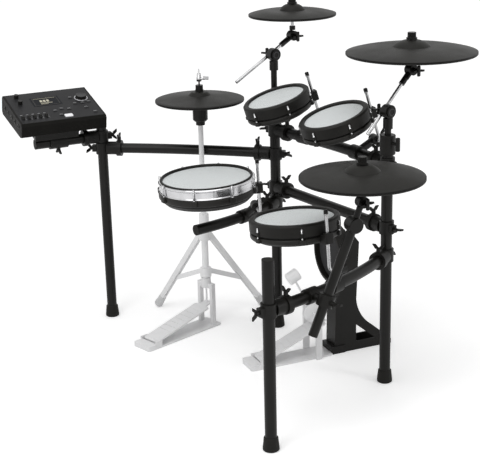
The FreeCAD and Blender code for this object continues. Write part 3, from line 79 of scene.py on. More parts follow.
def softMottleGroup():
    group, given, out = groupWith(
        "softMottle",
        (("Dark", "NodeSocketColor"), ("Pale", "NodeSocketColor"), ("Scale", "NodeSocketFloat"),
         ("Rough Low", "NodeSocketFloat"), ("Rough High", "NodeSocketFloat")),
        (("Color", "NodeSocketColor"), ("Roughness", "NodeSocketFloat")))
    place = group.nodes.new("ShaderNodeTexCoord")
    cloud = group.nodes.new("ShaderNodeTexNoise")
    cloud.inputs["Detail"].default_value = groupValues["cloudDetail"]
    group.links.new(place.outputs["Object"], cloud.inputs["Vector"])
    group.links.new(given.outputs["Scale"], cloud.inputs["Scale"])
    spread = group.nodes.new("ShaderNodeMapRange")
    spread.inputs["From Min"].default_value = groupValues["cloudLow"]
    spread.inputs["From Max"].default_value = groupValues["cloudHigh"]
    group.links.new(cloud.outputs["Fac"], spread.inputs["Value"])
    blend = group.nodes.new("ShaderNodeMix")
    blend.data_type = "RGBA"
    group.links.new(spread.outputs["Result"], blend.inputs["Factor"])
    group.links.new(given.outputs["Dark"], blend.inputs["A"])
    group.links.new(given.outputs["Pale"], blend.inputs["B"])
    rough = group.nodes.new("ShaderNodeMapRange")
    group.links.new(spread.outputs["Result"], rough.inputs["Value"])
    group.links.new(given.outputs["Rough Low"], rough.inputs["To Min"])
    group.links.new(given.outputs["Rough High"], rough.inputs["To Max"])
    group.links.new(blend.outputs["Result"], out.inputs["Color"])
    group.links.new(rough.outputs["Result"], out.inputs["Roughness"])
    return group


def mouldGrainGroup():
    group, given, out = groupWith(
        "mouldGrain",
        (("Scale", "NodeSocketFloat"), ("Strength", "NodeSocketFloat"),
         ("Depth", "NodeSocketFloat")),
        (("Normal", "NodeSocketVector"),))
    place = group.nodes.new("ShaderNodeTexCoord")
    speck = group.nodes.new("ShaderNodeTexNoise")
    speck.inputs["Detail"].default_value = groupValues["grainDetail"]
    group.links.new(place.outputs["Object"], speck.inputs["Vector"])
    group.links.new(given.outputs["Scale"], speck.inputs["Scale"])
    bump = group.nodes.new("ShaderNodeBump")
    group.links.new(given.outputs["Strength"], bump.inputs["Strength"])
    group.links.new(given.outputs["Depth"], bump.inputs["Distance"])
    group.links.new(speck.outputs["Fac"], bump.inputs["Height"])
    group.links.new(bump.outputs["Normal"], out.inputs["Normal"])
    return group


def ringGrooveGroup():
    # rings round the local Z, as a height from 0 to 1, and the distance from that axis
    group, given, out = groupWith(
        "ringGroove",
        (("Vector", "NodeSocketVector"), ("Pitch", "NodeSocketFloat")),
        (("Height", "NodeSocketFloat"), ("Radius", "NodeSocketFloat")))
    split = group.nodes.new("ShaderNodeSeparateXYZ")
    group.links.new(given.outputs["Vector"], split.inputs[0])
    across = mathNode(group, "POWER", split.outputs["X"], 2.0)
    along = mathNode(group, "POWER", split.outputs["Y"], 2.0)
    radius = mathNode(group, "SQRT", mathNode(group, "ADD", across, along))
    turns = mathNode(group, "DIVIDE", radius, given.outputs["Pitch"])
    wave = mathNode(group, "SINE", mathNode(group, "MULTIPLY", turns, 2 * math.pi))
    height = mathNode(group, "MULTIPLY_ADD", wave, 0.5, 0.5)
    group.links.new(height, out.inputs["Height"])
    group.links.new(radius, out.inputs["Radius"])
    return group


def threadWeaveGroup():
    # crossing threads in the local XY plane, and a mask of the gaps between them
    group, given, out = groupWith(
        "threadWeave",
        (("Vector", "NodeSocketVector"), ("Pitch", "NodeSocketFloat")),
        (("Height", "NodeSocketFloat"), ("Gap", "NodeSocketFloat")))
    split = group.nodes.new("ShaderNodeSeparateXYZ")
    group.links.new(given.outputs["Vector"], split.inputs[0])
    waves = []
    for axis in ("X", "Y"):
        turns = mathNode(group, "DIVIDE", split.outputs[axis], given.outputs["Pitch"])
        wave = mathNode(group, "SINE", mathNode(group, "MULTIPLY", turns, math.pi))
        waves.append(mathNode(group, "ABSOLUTE", wave))
    height = mathNode(group, "MAXIMUM", waves[0], waves[1])
    gap = mathNode(group, "LESS_THAN", height, groupValues["gapBelow"])
    group.links.new(height, out.inputs["Height"])
    group.links.new(gap, out.inputs["Gap"])
    return group


softMottle = softMottleGroup()
mouldGrain = mouldGrainGroup()
ringGroove = ringGrooveGroup()
threadWeave = threadWeaveGroup()
print("node groups made")


# finishes
def newFinish(name):
    finish = bpy.data.materials.new(name)
    finish.use_nodes = True
    return finish, finish.node_tree, finish.node_tree.nodes["Principled BSDF"]


def placeGroup(tree, group, **values):
    node = tree.nodes.new("ShaderNodeGroup")
    node.node_tree = group
    for label, value in values.items():
        node.inputs[label.replace("_", " ")].default_value = value
    return node


def placeMottle(tree, values):
    low, high = values["rough"]
    return placeGroup(tree, softMottle, Dark=values["dark"], Pale=values["pale"],
                      Scale=values["scale"], Rough_Low=low, Rough_High=high)


def placeGrain(tree, shader, grain):
    scale, strength, depth = grain
    skin = placeGroup(tree, mouldGrain, Scale=scale, Strength=strength, Depth=depth)
    tree.links.new(skin.outputs["Normal"], shader.inputs["Normal"])


def colourMix(tree, mask, plain, masked):
    # the masked colour where the mask is 1; a colour is a fixed value or a socket
    mix = tree.nodes.new("ShaderNodeMix")
    mix.data_type = "RGBA"
    tree.links.new(mask, mix.inputs["Factor"])
    for label, colour in (("A", plain), ("B", masked)):
        if isinstance(colour, tuple):
            mix.inputs[label].default_value = colour
        else:
            tree.links.new(colour, mix.inputs[label])
    return mix.outputs["Result"]


def raised(tree, shader, height, strength, depth):
    bump = tree.nodes.new("ShaderNodeBump")
    bump.inputs["Strength"].default_value = strength
    bump.inputs["Distance"].default_value = depth
    tree.links.new(height, bump.inputs["Height"])
    tree.links.new(bump.outputs["Normal"], shader.inputs["Normal"])


def grey(value, tint=0.0):
    return (value, value, value + tint, 1)


warmGreen, warmBlue = 0.94, 0.8


def warmBlack(value):
    return (value, value * warmGreen, value * warmBlue, 1)


plainGloss = 0.5


def mottled(name, values):
    finish, tree, shader = newFinish(name)
    mottle = placeMottle(tree, values)
    tree.links.new(mottle.outputs["Color"], shader.inputs["Base Color"])
    tree.links.new(mottle.outputs["Roughness"], shader.inputs["Roughness"])
    placeGrain(tree, shader, values["grain"])
    shader.inputs["Metallic"].default_value = values.get("metallic", 0.0)
    shader.inputs["Specular IOR Level"].default_value = values.get("gloss", plainGloss)
    if "glow" in values:
        shader.inputs["Emission Color"].default_value = values["pale"]
        shader.inputs["Emission Strength"].default_value = values["glow"]
    return finish


# grain is its scale, strength and depth
finishValues = {
    "rackCoat": {"dark": warmBlack(0.0045), "pale": warmBlack(0.0075), "scale": 14,
                 "rough": (0.3, 0.4), "grain": (1100, 0.12, 0.0002), "gloss": 0.2},
    "clampMould": {"dark": warmBlack(0.004), "pale": warmBlack(0.0075), "scale": 30,
                   "rough": (0.38, 0.52), "grain": (1500, 0.25, 0.0003), "gloss": 0.2},
    "footRubber": {"dark": warmBlack(0.006), "pale": warmBlack(0.011), "scale": 40,
                   "rough": (0.6, 0.75), "grain": (900, 0.2, 0.0004), "gloss": 0.2},
    "rimRubber": {"dark": warmBlack(0.006), "pale": warmBlack(0.01), "scale": 25,
                  "rough": (0.46, 0.6), "grain": (1600, 0.15, 0.0002), "gloss": 0.2},
    "shellMould": {"dark": warmBlack(0.005), "pale": warmBlack(0.009), "scale": 22,
                   "rough": (0.42, 0.55), "grain": (1800, 0.22, 0.0003), "gloss": 0.2},
    "rodSteel": {"dark": grey(0.4, 0.005), "pale": grey(0.52, 0.005), "scale": 45,
                 "rough": (0.22, 0.32), "grain": (700, 0.04, 0.0001), "metallic": 1.0},
    "hoopSteel": {"dark": grey(0.46, 0.01), "pale": grey(0.62, 0.01), "scale": 24,
                  "rough": (0.12, 0.24), "grain": (400, 0.03, 0.0001), "metallic": 1.0},
    "standPale": {"dark": grey(0.86, 0.005), "pale": grey(0.92, 0.005), "scale": 18,
                  "rough": (0.3, 0.42), "grain": (900, 0.05, 0.0001)},
    "pedalPale": {"dark": grey(0.76, 0.005), "pale": grey(0.83, 0.005), "scale": 16,
                  "rough": (0.38, 0.5), "grain": (1300, 0.12, 0.0002)},
    "towerCoat": {"dark": warmBlack(0.005), "pale": warmBlack(0.008), "scale": 16,
                  "rough": (0.38, 0.48), "grain": (1200, 0.14, 0.0002), "gloss": 0.2},
    "caseMould": {"dark": warmBlack(0.004), "pale": warmBlack(0.007), "scale": 20,
                  "rough": (0.46, 0.58), "grain": (2000, 0.3, 0.0003), "gloss": 0.08},
    "panelMould": {"dark": grey(0.0075, 0.001), "pale": grey(0.011, 0.001), "scale": 12,
                   "rough": (0.42, 0.52), "grain": (2200, 0.2, 0.0002), "gloss": 0.16},
    "controlMould": {"dark": warmBlack(0.004), "pale": warmBlack(0.008), "scale": 60,
                     "rough": (0.35, 0.5), "grain": (2600, 0.2, 0.0002), "gloss": 0.25},
    "keyMould": {"dark": grey(0.022, 0.001), "pale": grey(0.034, 0.002), "scale": 70,
                 "rough": (0.42, 0.54), "grain": (2400, 0.2, 0.0002), "gloss": 0.3},
    "markPale": {"dark": grey(0.42, 0.01), "pale": grey(0.56, 0.01), "scale": 120,
                 "rough": (0.45, 0.55), "grain": (1500, 0.05, 0.0001)},
    "screenPale": {"dark": (0.44, 0.41, 0.31, 1), "pale": (0.56, 0.53, 0.41, 1), "scale": 160,
                   "rough": (0.35, 0.45), "grain": (1500, 0.03, 0.0001), "glow": 0.08},
    "displayGlass": {"dark": (0.003, 0.004, 0.006, 1), "pale": (0.007, 0.008, 0.011, 1),
                     "scale": 30, "rough": (0.3, 0.38), "grain": (600, 0.02, 0.0001),
                     "gloss": 0.05},
    "ringSilver": {"dark": grey(0.44, 0.02), "pale": grey(0.58, 0.02), "scale": 90,
                   "rough": (0.26, 0.38), "grain": (900, 0.05, 0.0001), "metallic": 0.6},
    "litKey": {"dark": grey(0.76, 0.02), "pale": grey(0.86, 0.02), "scale": 90,
               "rough": (0.34, 0.46), "grain": (1500, 0.05, 0.0001), "glow": 0.15},
    "bootRubber": {"dark": grey(0.6, 0.005), "pale": grey(0.68, 0.005), "scale": 40,
                   "rough": (0.6, 0.72), "grain": (900, 0.2, 0.0003)},
    "bandMould": {"dark": warmBlack(0.0075), "pale": warmBlack(0.0125), "scale": 30,
                  "rough": (0.4, 0.52), "grain": (1700, 0.2, 0.0002), "gloss": 0.25},
}
finishes = {name: mottled(name, values) for name, values in finishValues.items()}

# the edge width and its colour paint shade, a darker ring at the rim for the shaded underside
cymbalValues = {"dark": (0.015, 0.0146, 0.0132, 1), "pale": (0.0215, 0.021, 0.019, 1), "scale": 11,
                "rough": (0.42, 0.54), "gloss": 0.1,
                "edge": 0.0035, "edgeColour": (0.006, 0.0058, 0.0052, 1),
                "ringPitch": 0.0026, "ringStrength": 0.22, "ringDepth": 0.0004}


def cymbalFinish(node):
    # moulded rubber with fine rings round the stud, and painted shade: a darker ring at the edge
    # stands in for the shaded underside of the rim
    values = cymbalValues
    low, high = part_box(node)
    centre = (low + high) / 2
    finish, tree, shader = newFinish("cymbalRubber." + node)
    place = tree.nodes.new("ShaderNodeTexCoord")
    shift = tree.nodes.new("ShaderNodeMapping")
    shift.inputs["Location"].default_value = (-centre.x, -centre.y, 0)
    tree.links.new(place.outputs["Object"], shift.inputs["Vector"])
    rings = placeGroup(tree, ringGroove, Pitch=values["ringPitch"])
    tree.links.new(shift.outputs["Vector"], rings.inputs["Vector"])
    mottle = placeMottle(tree, values)
    # painted shade: the outermost ring of the pad is darkened to stand in for the shade under the
    # rim
    rimShadeStart = (high.x - low.x) / 2 - values["edge"]
    edge = mathNode(tree, "GREATER_THAN", rings.outputs["Radius"], rimShadeStart)
    colour = colourMix(tree, edge, mottle.outputs["Color"], values["edgeColour"])
    tree.links.new(colour, shader.inputs["Base Color"])
    tree.links.new(mottle.outputs["Roughness"], shader.inputs["Roughness"])
    shader.inputs["Specular IOR Level"].default_value = values["gloss"]
    raised(tree, shader, rings.outputs["Height"], values["ringStrength"], values["ringDepth"])
    return finish


splitGrain = (900, 0.06, 0.0002)


def paintSplit(finish, tree, shader, mask, inside, outside):
    # the inside finish where the mask is 1, the outside one elsewhere
    plain, masked = placeMottle(tree, outside), placeMottle(tree, inside)
    colour = colourMix(tree, mask, plain.outputs["Color"], masked.outputs["Color"])
    tree.links.new(colour, shader.inputs["Base Color"])
    rough = tree.nodes.new("ShaderNodeMix")
    tree.links.new(mask, rough.inputs["Factor"])
    tree.links.new(plain.outputs["Roughness"], rough.inputs["A"])
    tree.links.new(masked.outputs["Roughness"], rough.inputs["B"])
    tree.links.new(rough.outputs["Result"], shader.inputs["Roughness"])
    metal = tree.nodes.new("ShaderNodeMapRange")
    tree.links.new(mask, metal.inputs["Value"])
    metal.inputs["To Min"].default_value = outside.get("metallic", 0.0)
    metal.inputs["To Max"].default_value = inside.get("metallic", 0.0)
    tree.links.new(metal.outputs["Result"], shader.inputs["Metallic"])
    gloss = min(side.get("gloss", plainGloss) for side in (inside, outside))
    shader.inputs["Specular IOR Level"].default_value = gloss
    placeGrain(tree, shader, splitGrain)
    return finish


def eitherMask(tree, masks):
    whole = masks[0]
    for mask in masks[1:]:
        whole = mathNode(tree, "MAXIMUM", whole, mask)
    return whole


def splitFinish(name, balls, inside, outside):
    # one finish within the given balls, another elsewhere
    finish, tree, shader = newFinish(name)
    place = tree.nodes.new("ShaderNodeTexCoord")
    masks = []
    for point, radius in balls:
        gap = tree.nodes.new("ShaderNodeVectorMath")
        gap.operation = "DISTANCE"
        gap.inputs[1].default_value = point
        tree.links.new(place.outputs["Object"], gap.inputs[0])
        masks.append(mathNode(tree, "LESS_THAN", gap.outputs["Value"], radius))
    return paintSplit(finish, tree, shader, eitherMask(tree, masks), inside, outside)


def bandFinish(name, low, high, inside, outside):
    # one finish between the given heights, another elsewhere
    finish, tree, shader = newFinish(name)
    place = tree.nodes.new("ShaderNodeTexCoord")
    split = tree.nodes.new("ShaderNodeSeparateXYZ")
    tree.links.new(place.outputs["Object"], split.inputs[0])
    over = mathNode(tree, "GREATER_THAN", split.outputs["Z"], low)
    band = mathNode(tree, "MULTIPLY", over, mathNode(tree, "LESS_THAN", split.outputs["Z"], high))
    return paintSplit(finish, tree, shader, band, inside, outside)


def dress(finish, *names):
    for name in names:
        nodes[name].data.materials.clear()
        nodes[name].data.materials.append(finish)


toms = ("tom_1", "tom_2", "tom_3")
drums = ("snare",) + toms
cymbals = ("left_crash_pad", "ride_pad", "right_crash_pad", "hihat_pad")
dress(finishes["rackCoat"], "front_legs", "rear_pillars", "side_arms", "cross_bars", "branch_arms",
      "cymbal_posts")
dress(finishes["clampMould"], "tee_clamps", "rod_clamps", "wing_bolts", "module_mount")
dress(finishes["footRubber"], "feet_and_caps")
dress(finishes["shellMould"], *(name + "_shell" for name in drums))
dress(finishes["rimRubber"], "kick_rim", *(name + "_rim" for name in drums))
dress(finishes["hoopSteel"], "snare_hoop")
dress(finishes["standPale"], "pedal_beater", "pedal_chain")
dress(finishes["pedalPale"], "hihat_pedal_frame", "hihat_footboard", "pedal_base",
      "pedal_footboard")
dress(finishes["towerCoat"], "kick_tower")
dress(finishes["caseMould"], "module_case")
dress(finishes["panelMould"], "module_panel")
dress(finishes["displayGlass"], "module_display")
dress(finishes["litKey"], "lit_button")
dress(finishes["controlMould"], "value_dial", "volume_knob", "phones_knob",
      "fader_1", "fader_2", "fader_3", "fader_4", "fader_5")
for name in cymbals:
    dress(cymbalFinish(name), name)

# where bright rods end and black fittings begin, from the joints and the rods' tops
splitValues = {"screwOut": 0.045, "knuckleBall": 0.03, "tipBall": 0.061,
               "stubOver": 0.0355, "stubUnder": 0.0105, "rodCap": 0.013, "pastTop": 0.01}
blackMetal = finishValues["rackCoat"]
brightMetal = finishValues["rodSteel"]
for name in ("left_crash", "ride"):
    swing = joints[name + "_boom_swing"]
    knuckle = Vector(swing["pos_m"])
    screw = knuckle + splitValues["screwOut"] * Vector(swing["axis"])
    balls = ((knuckle, splitValues["knuckleBall"]), (screw, splitValues["knuckleBall"]),
             (joints[name + "_tilt"]["pos_m"], splitValues["tipBall"]))
    dress(splitFinish("boomRod." + name, balls, blackMetal, brightMetal), name + "_boom")
for name in ("left_crash", "ride", "right_crash"):
    stubLow = joints[name + "_tilt"]["pos_m"][2] + splitValues["stubOver"]
    stubHigh = joints[name + "_rock"]["pos_m"][2] - splitValues["stubUnder"]
    dress(bandFinish("tilterStub." + name, stubLow, stubHigh, brightMetal, blackMetal),
          name + "_tilter")
for name in drums:
    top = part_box(name + "_rod")[1].z
    capLow, capHigh = top - splitValues["rodCap"], top + splitValues["pastTop"]
    dress(bandFinish("padRod." + name, capLow, capHigh, blackMetal, brightMetal), name + "_rod")
print("finishes made")


# pieces that this script adds to the solids or puts in their place
weldGap = 0.000001


def addPiece(name, shape, finish, body, smooth=True):
    bmesh.ops.remove_doubles(shape, verts=shape.verts, dist=weldGap)
    bmesh.ops.recalc_face_normals(shape, faces=shape.faces)
    mesh = bpy.data.meshes.new(name)
    shape.to_mesh(mesh)
    shape.free()
    for face in mesh.polygons:
        face.use_smooth = smooth
    mesh.materials.append(finish)
    piece = bpy.data.objects.new(name, mesh)
    scene.collection.objects.link(piece)
    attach(piece, body)
    return piece


def markDone(shape):
    # the next lathe moves only faces without this tag
    for face in shape.faces:
        face.tag = True


def lathe(shape, outline, at, steps=32):
    # an outline of (radius, height) pairs turned about the local Z of the given frame
    first = [shape.verts.new((radius, 0, height)) for radius, height in outline]
    edges = [shape.edges.new(pair) for pair in zip(first, first[1:])]
    bmesh.ops.spin(shape, geom=first + edges, cent=(0, 0, 0), axis=(0, 0, 1), angle=2 * math.pi,
                   steps=steps, use_merge=True)
    fresh = {vert for face in shape.faces if not face.tag for vert in face.verts}
    bmesh.ops.transform(shape, matrix=at, verts=list(fresh))
    markDone(shape)


def block(shape, size, at, rounding=0.0):
    made = bmesh.ops.create_cube(shape, size=1.0)
    bmesh.ops.scale(shape, vec=size, verts=made["verts"])
    bmesh.ops.transform(shape, matrix=at, verts=made["verts"])
    if rounding:
        edges = list({edge for vert in made["verts"] for edge in vert.link_edges})
        bmesh.ops.bevel(shape, geom=edges, offset=rounding, offset_type="OFFSET", affect="EDGES",
                        segments=3, profile=0.5, material=-1)
    markDone(shape)


def placeAt(x, y, z):
    return Matrix.Translation((x, y, z))


def spun(degrees, axis):
    return Matrix.Rotation(math.radians(degrees), 4, axis)


def frameOf(point, turn, tilt):
    return Matrix.Translation(point) @ spun(turn, "Z") @ spun(tilt, "X")


def facing(point, direction):
    # a frame at the point with its Z along the direction
    return Matrix.Translation(point) @ direction.to_track_quat("Z", "Y").to_matrix().to_4x4()


# drum pads: heading, tilt, head and rim radius, number of lugs and the heading of the first
padValues = {
    "snare": {"turn": -25.0, "tilt": 2.5, "radius": 0.1614, "rim": 0.1675,
              "lugs": 8, "start": -67.5},
    "tom_1": {"turn": -18.0, "tilt": 17.0, "radius": 0.1124, "rim": 0.1205,
              "lugs": 6, "start": -60.0},
    "tom_2": {"turn": -15.0, "tilt": 17.0, "radius": 0.1124, "rim": 0.1205,
              "lugs": 6, "start": -60.0},
    "tom_3": {"turn": -88.0, "tilt": 5.5, "radius": 0.1379, "rim": 0.146,
              "lugs": 6, "start": -60.0},
}
headValues = {"cadThick": 0.0015, "drop": 0.0002, "ply": 0.0008,
              "rings": (0.0, 0.1, 0.25, 0.45, 0.65, 0.82, 0.94, 1.0)}
meshValues = {"turn": (0, 0, 0), "pitch": 0.0011,
              "thread": (0.74, 0.77, 0.77, 1), "gap": (0.46, 0.48, 0.48, 1),
              "rough": 0.62, "gloss": 0.15, "strength": 0.35, "depth": 0.0003}
padFrames = {}
for name, values in padValues.items():
    low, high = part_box(name + "_head")
    padFrames[name] = frameOf((low + high) / 2, values["turn"], values["tilt"]) @ placeAt(
        0, 0, headValues["cadThick"] / 2)


def wovenFinish(name, values):
    finish, tree, shader = newFinish(name)
    place = tree.nodes.new("ShaderNodeTexCoord")
    turned = tree.nodes.new("ShaderNodeMapping")
    turned.inputs["Rotation"].default_value = values["turn"]
    tree.links.new(place.outputs["Object"], turned.inputs["Vector"])
    weave = placeGroup(tree, threadWeave, Pitch=values["pitch"])
    tree.links.new(turned.outputs["Vector"], weave.inputs["Vector"])
    colour = colourMix(tree, weave.outputs["Gap"], values["thread"], values["gap"])
    tree.links.new(colour, shader.inputs["Base Color"])
    shader.inputs["Roughness"].default_value = values["rough"]
    shader.inputs["Specular IOR Level"].default_value = values["gloss"]
    raised(tree, shader, weave.outputs["Height"], values["strength"], values["depth"])
    return finish


def stretchedHead(name, finish):
    # two-ply mesh drawn flat under the rim
    radius = padValues[name]["radius"]
    shape = bmesh.new()
    outline = [(radius * share, -headValues["drop"]) for share in headValues["rings"]]
    lathe(shape, outline, padFrames[name], steps=96)
    sheet = addPiece(name + "MeshHead", shape, finish, name)
    skin = sheet.modifiers.new("ply", "SOLIDIFY")
    skin.thickness = headValues["ply"]
    skin.offset = -1.0
    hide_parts(name + "_head")


wovenMesh = wovenFinish("wovenMesh", meshValues)
for name in drums:
    stretchedHead(name, wovenMesh)
print("heads stretched")

# heights from the head's top
tomScrewValues = {"out": 0.0022, "seat": -0.017, "washer": 0.0044, "head": 0.0033, "tall": 0.0135,
                  "low": -0.032, "tip": 0.003, "drop": 0.006}
snareScrewValues = {"out": 0.002, "seat": 0.0008, "washer": 0.005, "head": 0.004, "tall": 0.008,
                    "shaft": 0.0026, "low": -0.028, "tip": 0.0038, "drop": 0.006}
screwValues = {"washerTall": 0.0012, "neck": 0.0014, "edge": 0.0012, "nutEdge": 0.001,
               "socketTop": 0.45, "socketFoot": 0.4, "socketDeep": 0.0018,
               "claw": (0.012, 0.017, 0.0026), "clawIn": 0.004, "clawUnder": 0.0016,
               "clawRound": 0.001}


def screwOutline(values):
    seat, top = values["seat"], values["seat"] + values["tall"]
    washer, head, edge = values["washer"], values["head"], screwValues["edge"]
    socket = top - screwValues["socketDeep"]
    return [(0, seat), (washer, seat), (washer, seat + screwValues["washerTall"]),
            (head, seat + screwValues["neck"]), (head, top - edge), (head - edge, top),
            (head * screwValues["socketTop"], top), (head * screwValues["socketFoot"], socket),
            (0, socket)]


def nutOutline(values):
    low, end = values["low"], values["low"] - values["drop"]
    tip, edge = values["tip"], screwValues["nutEdge"]
    return [(0, low), (tip, low), (tip, end + edge), (tip - edge, end), (0, end)]


def lugFrames(name, out):
    pad = padValues[name]
    for index in range(pad["lugs"]):
        turned = spun(pad["start"] + 360 * index / pad["lugs"], "Z")
        yield padFrames[name] @ turned @ placeAt(pad["rim"] + out, 0, 0)


def lugScrews(name, values):
    shape = bmesh.new()
    for at in lugFrames(name, values["out"]):
        lathe(shape, screwOutline(values), at, steps=20)
        lathe(shape, nutOutline(values), at, steps=20)
        if "shaft" in values:
            shaft, seat, low = values["shaft"], values["seat"], values["low"]
            lathe(shape, [(0, seat), (shaft, seat), (shaft, low), (0, low)], at, steps=16)
            claw = at @ placeAt(-screwValues["clawIn"], 0, seat - screwValues["clawUnder"])
            block(shape, screwValues["claw"], claw, screwValues["clawRound"])
    addPiece(name + "LugScrews", shape, finishes["rodSteel"], name)


for name in toms:
    lugScrews(name, tomScrewValues)
lugScrews("snare", snareScrewValues)
print("lug screws set")

# moulded band low on each shell, with an ear under every lug screw; radii from the rim's
tomBandValues = {"inside": 0.0086, "out": -0.0008, "top": -0.0365, "low": -0.0535, "lip": 0.0025,
                 "draw": 0.0055, "ear": (0.016, 0.019, 0.0135), "earOut": -0.001, "earAt": -0.045}
snareBandValues = {"inside": 0.0066, "out": 0.0014, "top": -0.0285, "low": -0.054, "lip": 0.002,
                   "draw": 0.0, "ear": (0.02, 0.023, 0.021), "earOut": -0.0005, "earAt": -0.0405}
# the foot's rise and setback are shares of the lip
bandValues = {"footRise": 1.6, "footIn": 1.2, "earRound": 0.003}


def shellBand(name, values):
    inner = padValues[name]["rim"] - values["inside"]
    outer = padValues[name]["rim"] + values["out"]
    top, low, lip, draw = values["top"], values["low"], values["lip"], values["draw"]
    rise, setback = bandValues["footRise"] * lip, bandValues["footIn"] * lip
    outline = [(inner, top), (outer - lip, top), (outer, top - lip), (outer, low + rise),
               (outer - setback, low), (inner - draw, low), (inner - draw, low + draw + lip),
               (inner, top)]
    shape = bmesh.new()
    lathe(shape, outline, padFrames[name], steps=96)
    for at in lugFrames(name, values["earOut"]):
        block(shape, values["ear"], at @ placeAt(0, 0, values["earAt"]), bandValues["earRound"])
    addPiece(name + "ShellBand", shape, finishes["bandMould"], name)


for name in toms:
    shellBand(name, tomBandValues)
shellBand("snare", snareBandValues)
print("shell bands made")

kickValues = {"turn": -11.0, "tilt": 90.0, "radius": 0.0948, "half": 0.009, "crown": 0.003,
              "edge": 0.003, "corner": 0.3, "rings": (0.0, 0.3, 0.55, 0.75, 0.9)}
clothValues = {"turn": (math.radians(90), 0, 0), "pitch": 0.0013, "thread": (0.02, 0.02, 0.021, 1),
               "gap": (0.009, 0.009, 0.009, 1), "rough": 0.85, "gloss": plainGloss, "strength": 0.4,
               "depth": 0.0004}


def kickFace():
    # cloth over foam, falling away a little towards the rim
    values = kickValues
    low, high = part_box("kick_head")
    at = frameOf((low + high) / 2, values["turn"], values["tilt"])
    radius, half, edge = values["radius"], values["half"], values["edge"]
    outline = [(radius * share, half - values["crown"] * share ** 2) for share in values["rings"]]
    brow, corner = half - values["crown"], edge * values["corner"]
    outline += [(radius - edge, brow), (radius - corner, brow - corner), (radius, brow - edge),
                (radius, -half), (0, -half)]
    shape = bmesh.new()
    lathe(shape, outline, at, steps=72)
    cloth = wovenFinish("kickCloth", clothValues)
    face = addPiece("kickClothFace", shape, cloth, "rack")
    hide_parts("kick_head")


kickFace()
print("kick face made")

# the module's frame lies in its panel: X to the right, Y to the back, Z up from the panel
moduleValues = {"turn": 81.7, "tilt": 15.0, "width": 0.326, "depth": 0.262, "back": 0.074,
                "front": 0.044, "dial": (0.11736, 0.03406)}
dialX, dialY = moduleValues["dial"]
dialFrame = frameOf(joints["value_dial_turn"]["pos_m"], moduleValues["turn"], moduleValues["tilt"])
moduleFrame = dialFrame @ placeAt(-dialX, -dialY, 0)

# lower shell of the case as (depth, height) pairs, flush with the front and running out at the back
trayValues = {"proud": 0.0003, "round": 0.0015, "outline": (
    (-0.131, -0.032), (-0.131, -0.051), (-0.113, -0.06), (0.12, -0.0745), (0.12, -0.066),
    (-0.12, -0.032))}


def caseTray():
    values = trayValues
    half = moduleValues["width"] / 2 + values["proud"]
    shape = bmesh.new()
    side = [shape.verts.new((-half, depth - values["proud"], height))
            for depth, height in values["outline"]]
    face = shape.faces.new(side)
    made = bmesh.ops.extrude_face_region(shape, geom=[face])
    moved = [item for item in made["geom"] if isinstance(item, bmesh.types.BMVert)]
    bmesh.ops.translate(shape, vec=(2 * half, 0, 0), verts=moved)
    bmesh.ops.bevel(shape, geom=list(shape.edges), offset=values["round"], offset_type="OFFSET",
                    affect="EDGES", segments=2, profile=0.5, material=-1)
    bmesh.ops.transform(shape, matrix=moduleFrame, verts=shape.verts)
    addPiece("caseTray", shape, finishes["caseMould"], "module", smooth=False)


shoeValues = {"size": (0.17, 0.05, 0.043), "at": (-0.01, -0.0529, -0.083), "round": 0.004}


def mountShoe():
    # body of the mount between the case and the sleeve on the arm
    shape = bmesh.new()
    block(shape, shoeValues["size"], moduleFrame @ placeAt(*shoeValues["at"]), shoeValues["round"])
    addPiece("mountShoe", shape, finishes["clampMould"], "module", smooth=False)


keyValues = {"size": (0.015, 0.0085, 0.005), "round": 0.0012, "spots": (
    (0.079, 0.045), (0.081, -0.0075), (0.11, -0.009), (0.136, -0.004), (0.1114, -0.048),
    (0.1328, -0.0906), (0.045, -0.0448), (0.0176, -0.0377), (-0.01, -0.048), (0.0022, -0.086))}


def moduleKeys():
    shape = bmesh.new()
    for x, y in keyValues["spots"]:
        block(shape, keyValues["size"], moduleFrame @ placeAt(x, y, 0), keyValues["round"])
    addPiece("moduleKeys", shape, finishes["keyMould"], "module", smooth=False)


# bars as x, y, width and height on the screen
screenValues = {"middle": (-0.01956, 0.0393), "lift": 0.0002, "thick": 0.0003, "bars": (
    (-0.0175, 0.004, 0.009, 0.016), (-0.0045, 0.004, 0.009, 0.016), (0.0085, 0.004, 0.009, 0.016),
    (0.0, -0.0125, 0.046, 0.0032), (-0.009, -0.02, 0.028, 0.0022), (0.0, 0.026, 0.084, 0.0014))}
screenFrame = moduleFrame @ placeAt(*screenValues["middle"], 0)


def screenBars():
    # plain bars stand for what a lit screen shows
    shape = bmesh.new()
    for x, y, wide, tall in screenValues["bars"]:
        at = screenFrame @ placeAt(x, y, screenValues["lift"])
        block(shape, (wide, tall, screenValues["thick"]), at)
    addPiece("screenBars", shape, finishes["screenPale"], "module", smooth=False)


bezelValues = {"wide": 0.094, "tall": 0.062, "bar": 0.0042, "thick": 0.0016, "joint": 0.0002,
               "round": 0.0005}


def screenBezel():
    # raised frame round the display
    values = bezelValues
    wide, tall, bar, thick = values["wide"], values["tall"], values["bar"], values["thick"]
    across, upright = (wide + bar, bar, thick), (bar, tall - bar - values["joint"], thick)
    shape = bmesh.new()
    for sign in (-1, 1):
        block(shape, across, screenFrame @ placeAt(0, sign * tall / 2, 0), values["round"])
        block(shape, upright, screenFrame @ placeAt(sign * wide / 2, 0, 0), values["round"])
    addPiece("screenBezel", shape, finishes["controlMould"], "module",
             smooth=False)


# faderX and faderY are the middle of the middle fader's slot
markValues = {"faders": 5, "faderX": -0.0978, "faderY": -0.0786, "faderPitch": 0.022,
              "title": (0.009, 0.0016, 0.0004), "titleUp": 0.026,
              "ticks": 5, "tick": (0.0045, 0.0006, 0.0004), "tickAside": 0.008, "tickPitch": 0.006,
              "keyMark": (0.012, 0.0011, 0.0004), "keyMarkUp": 0.0085, "lift": 0.0001}


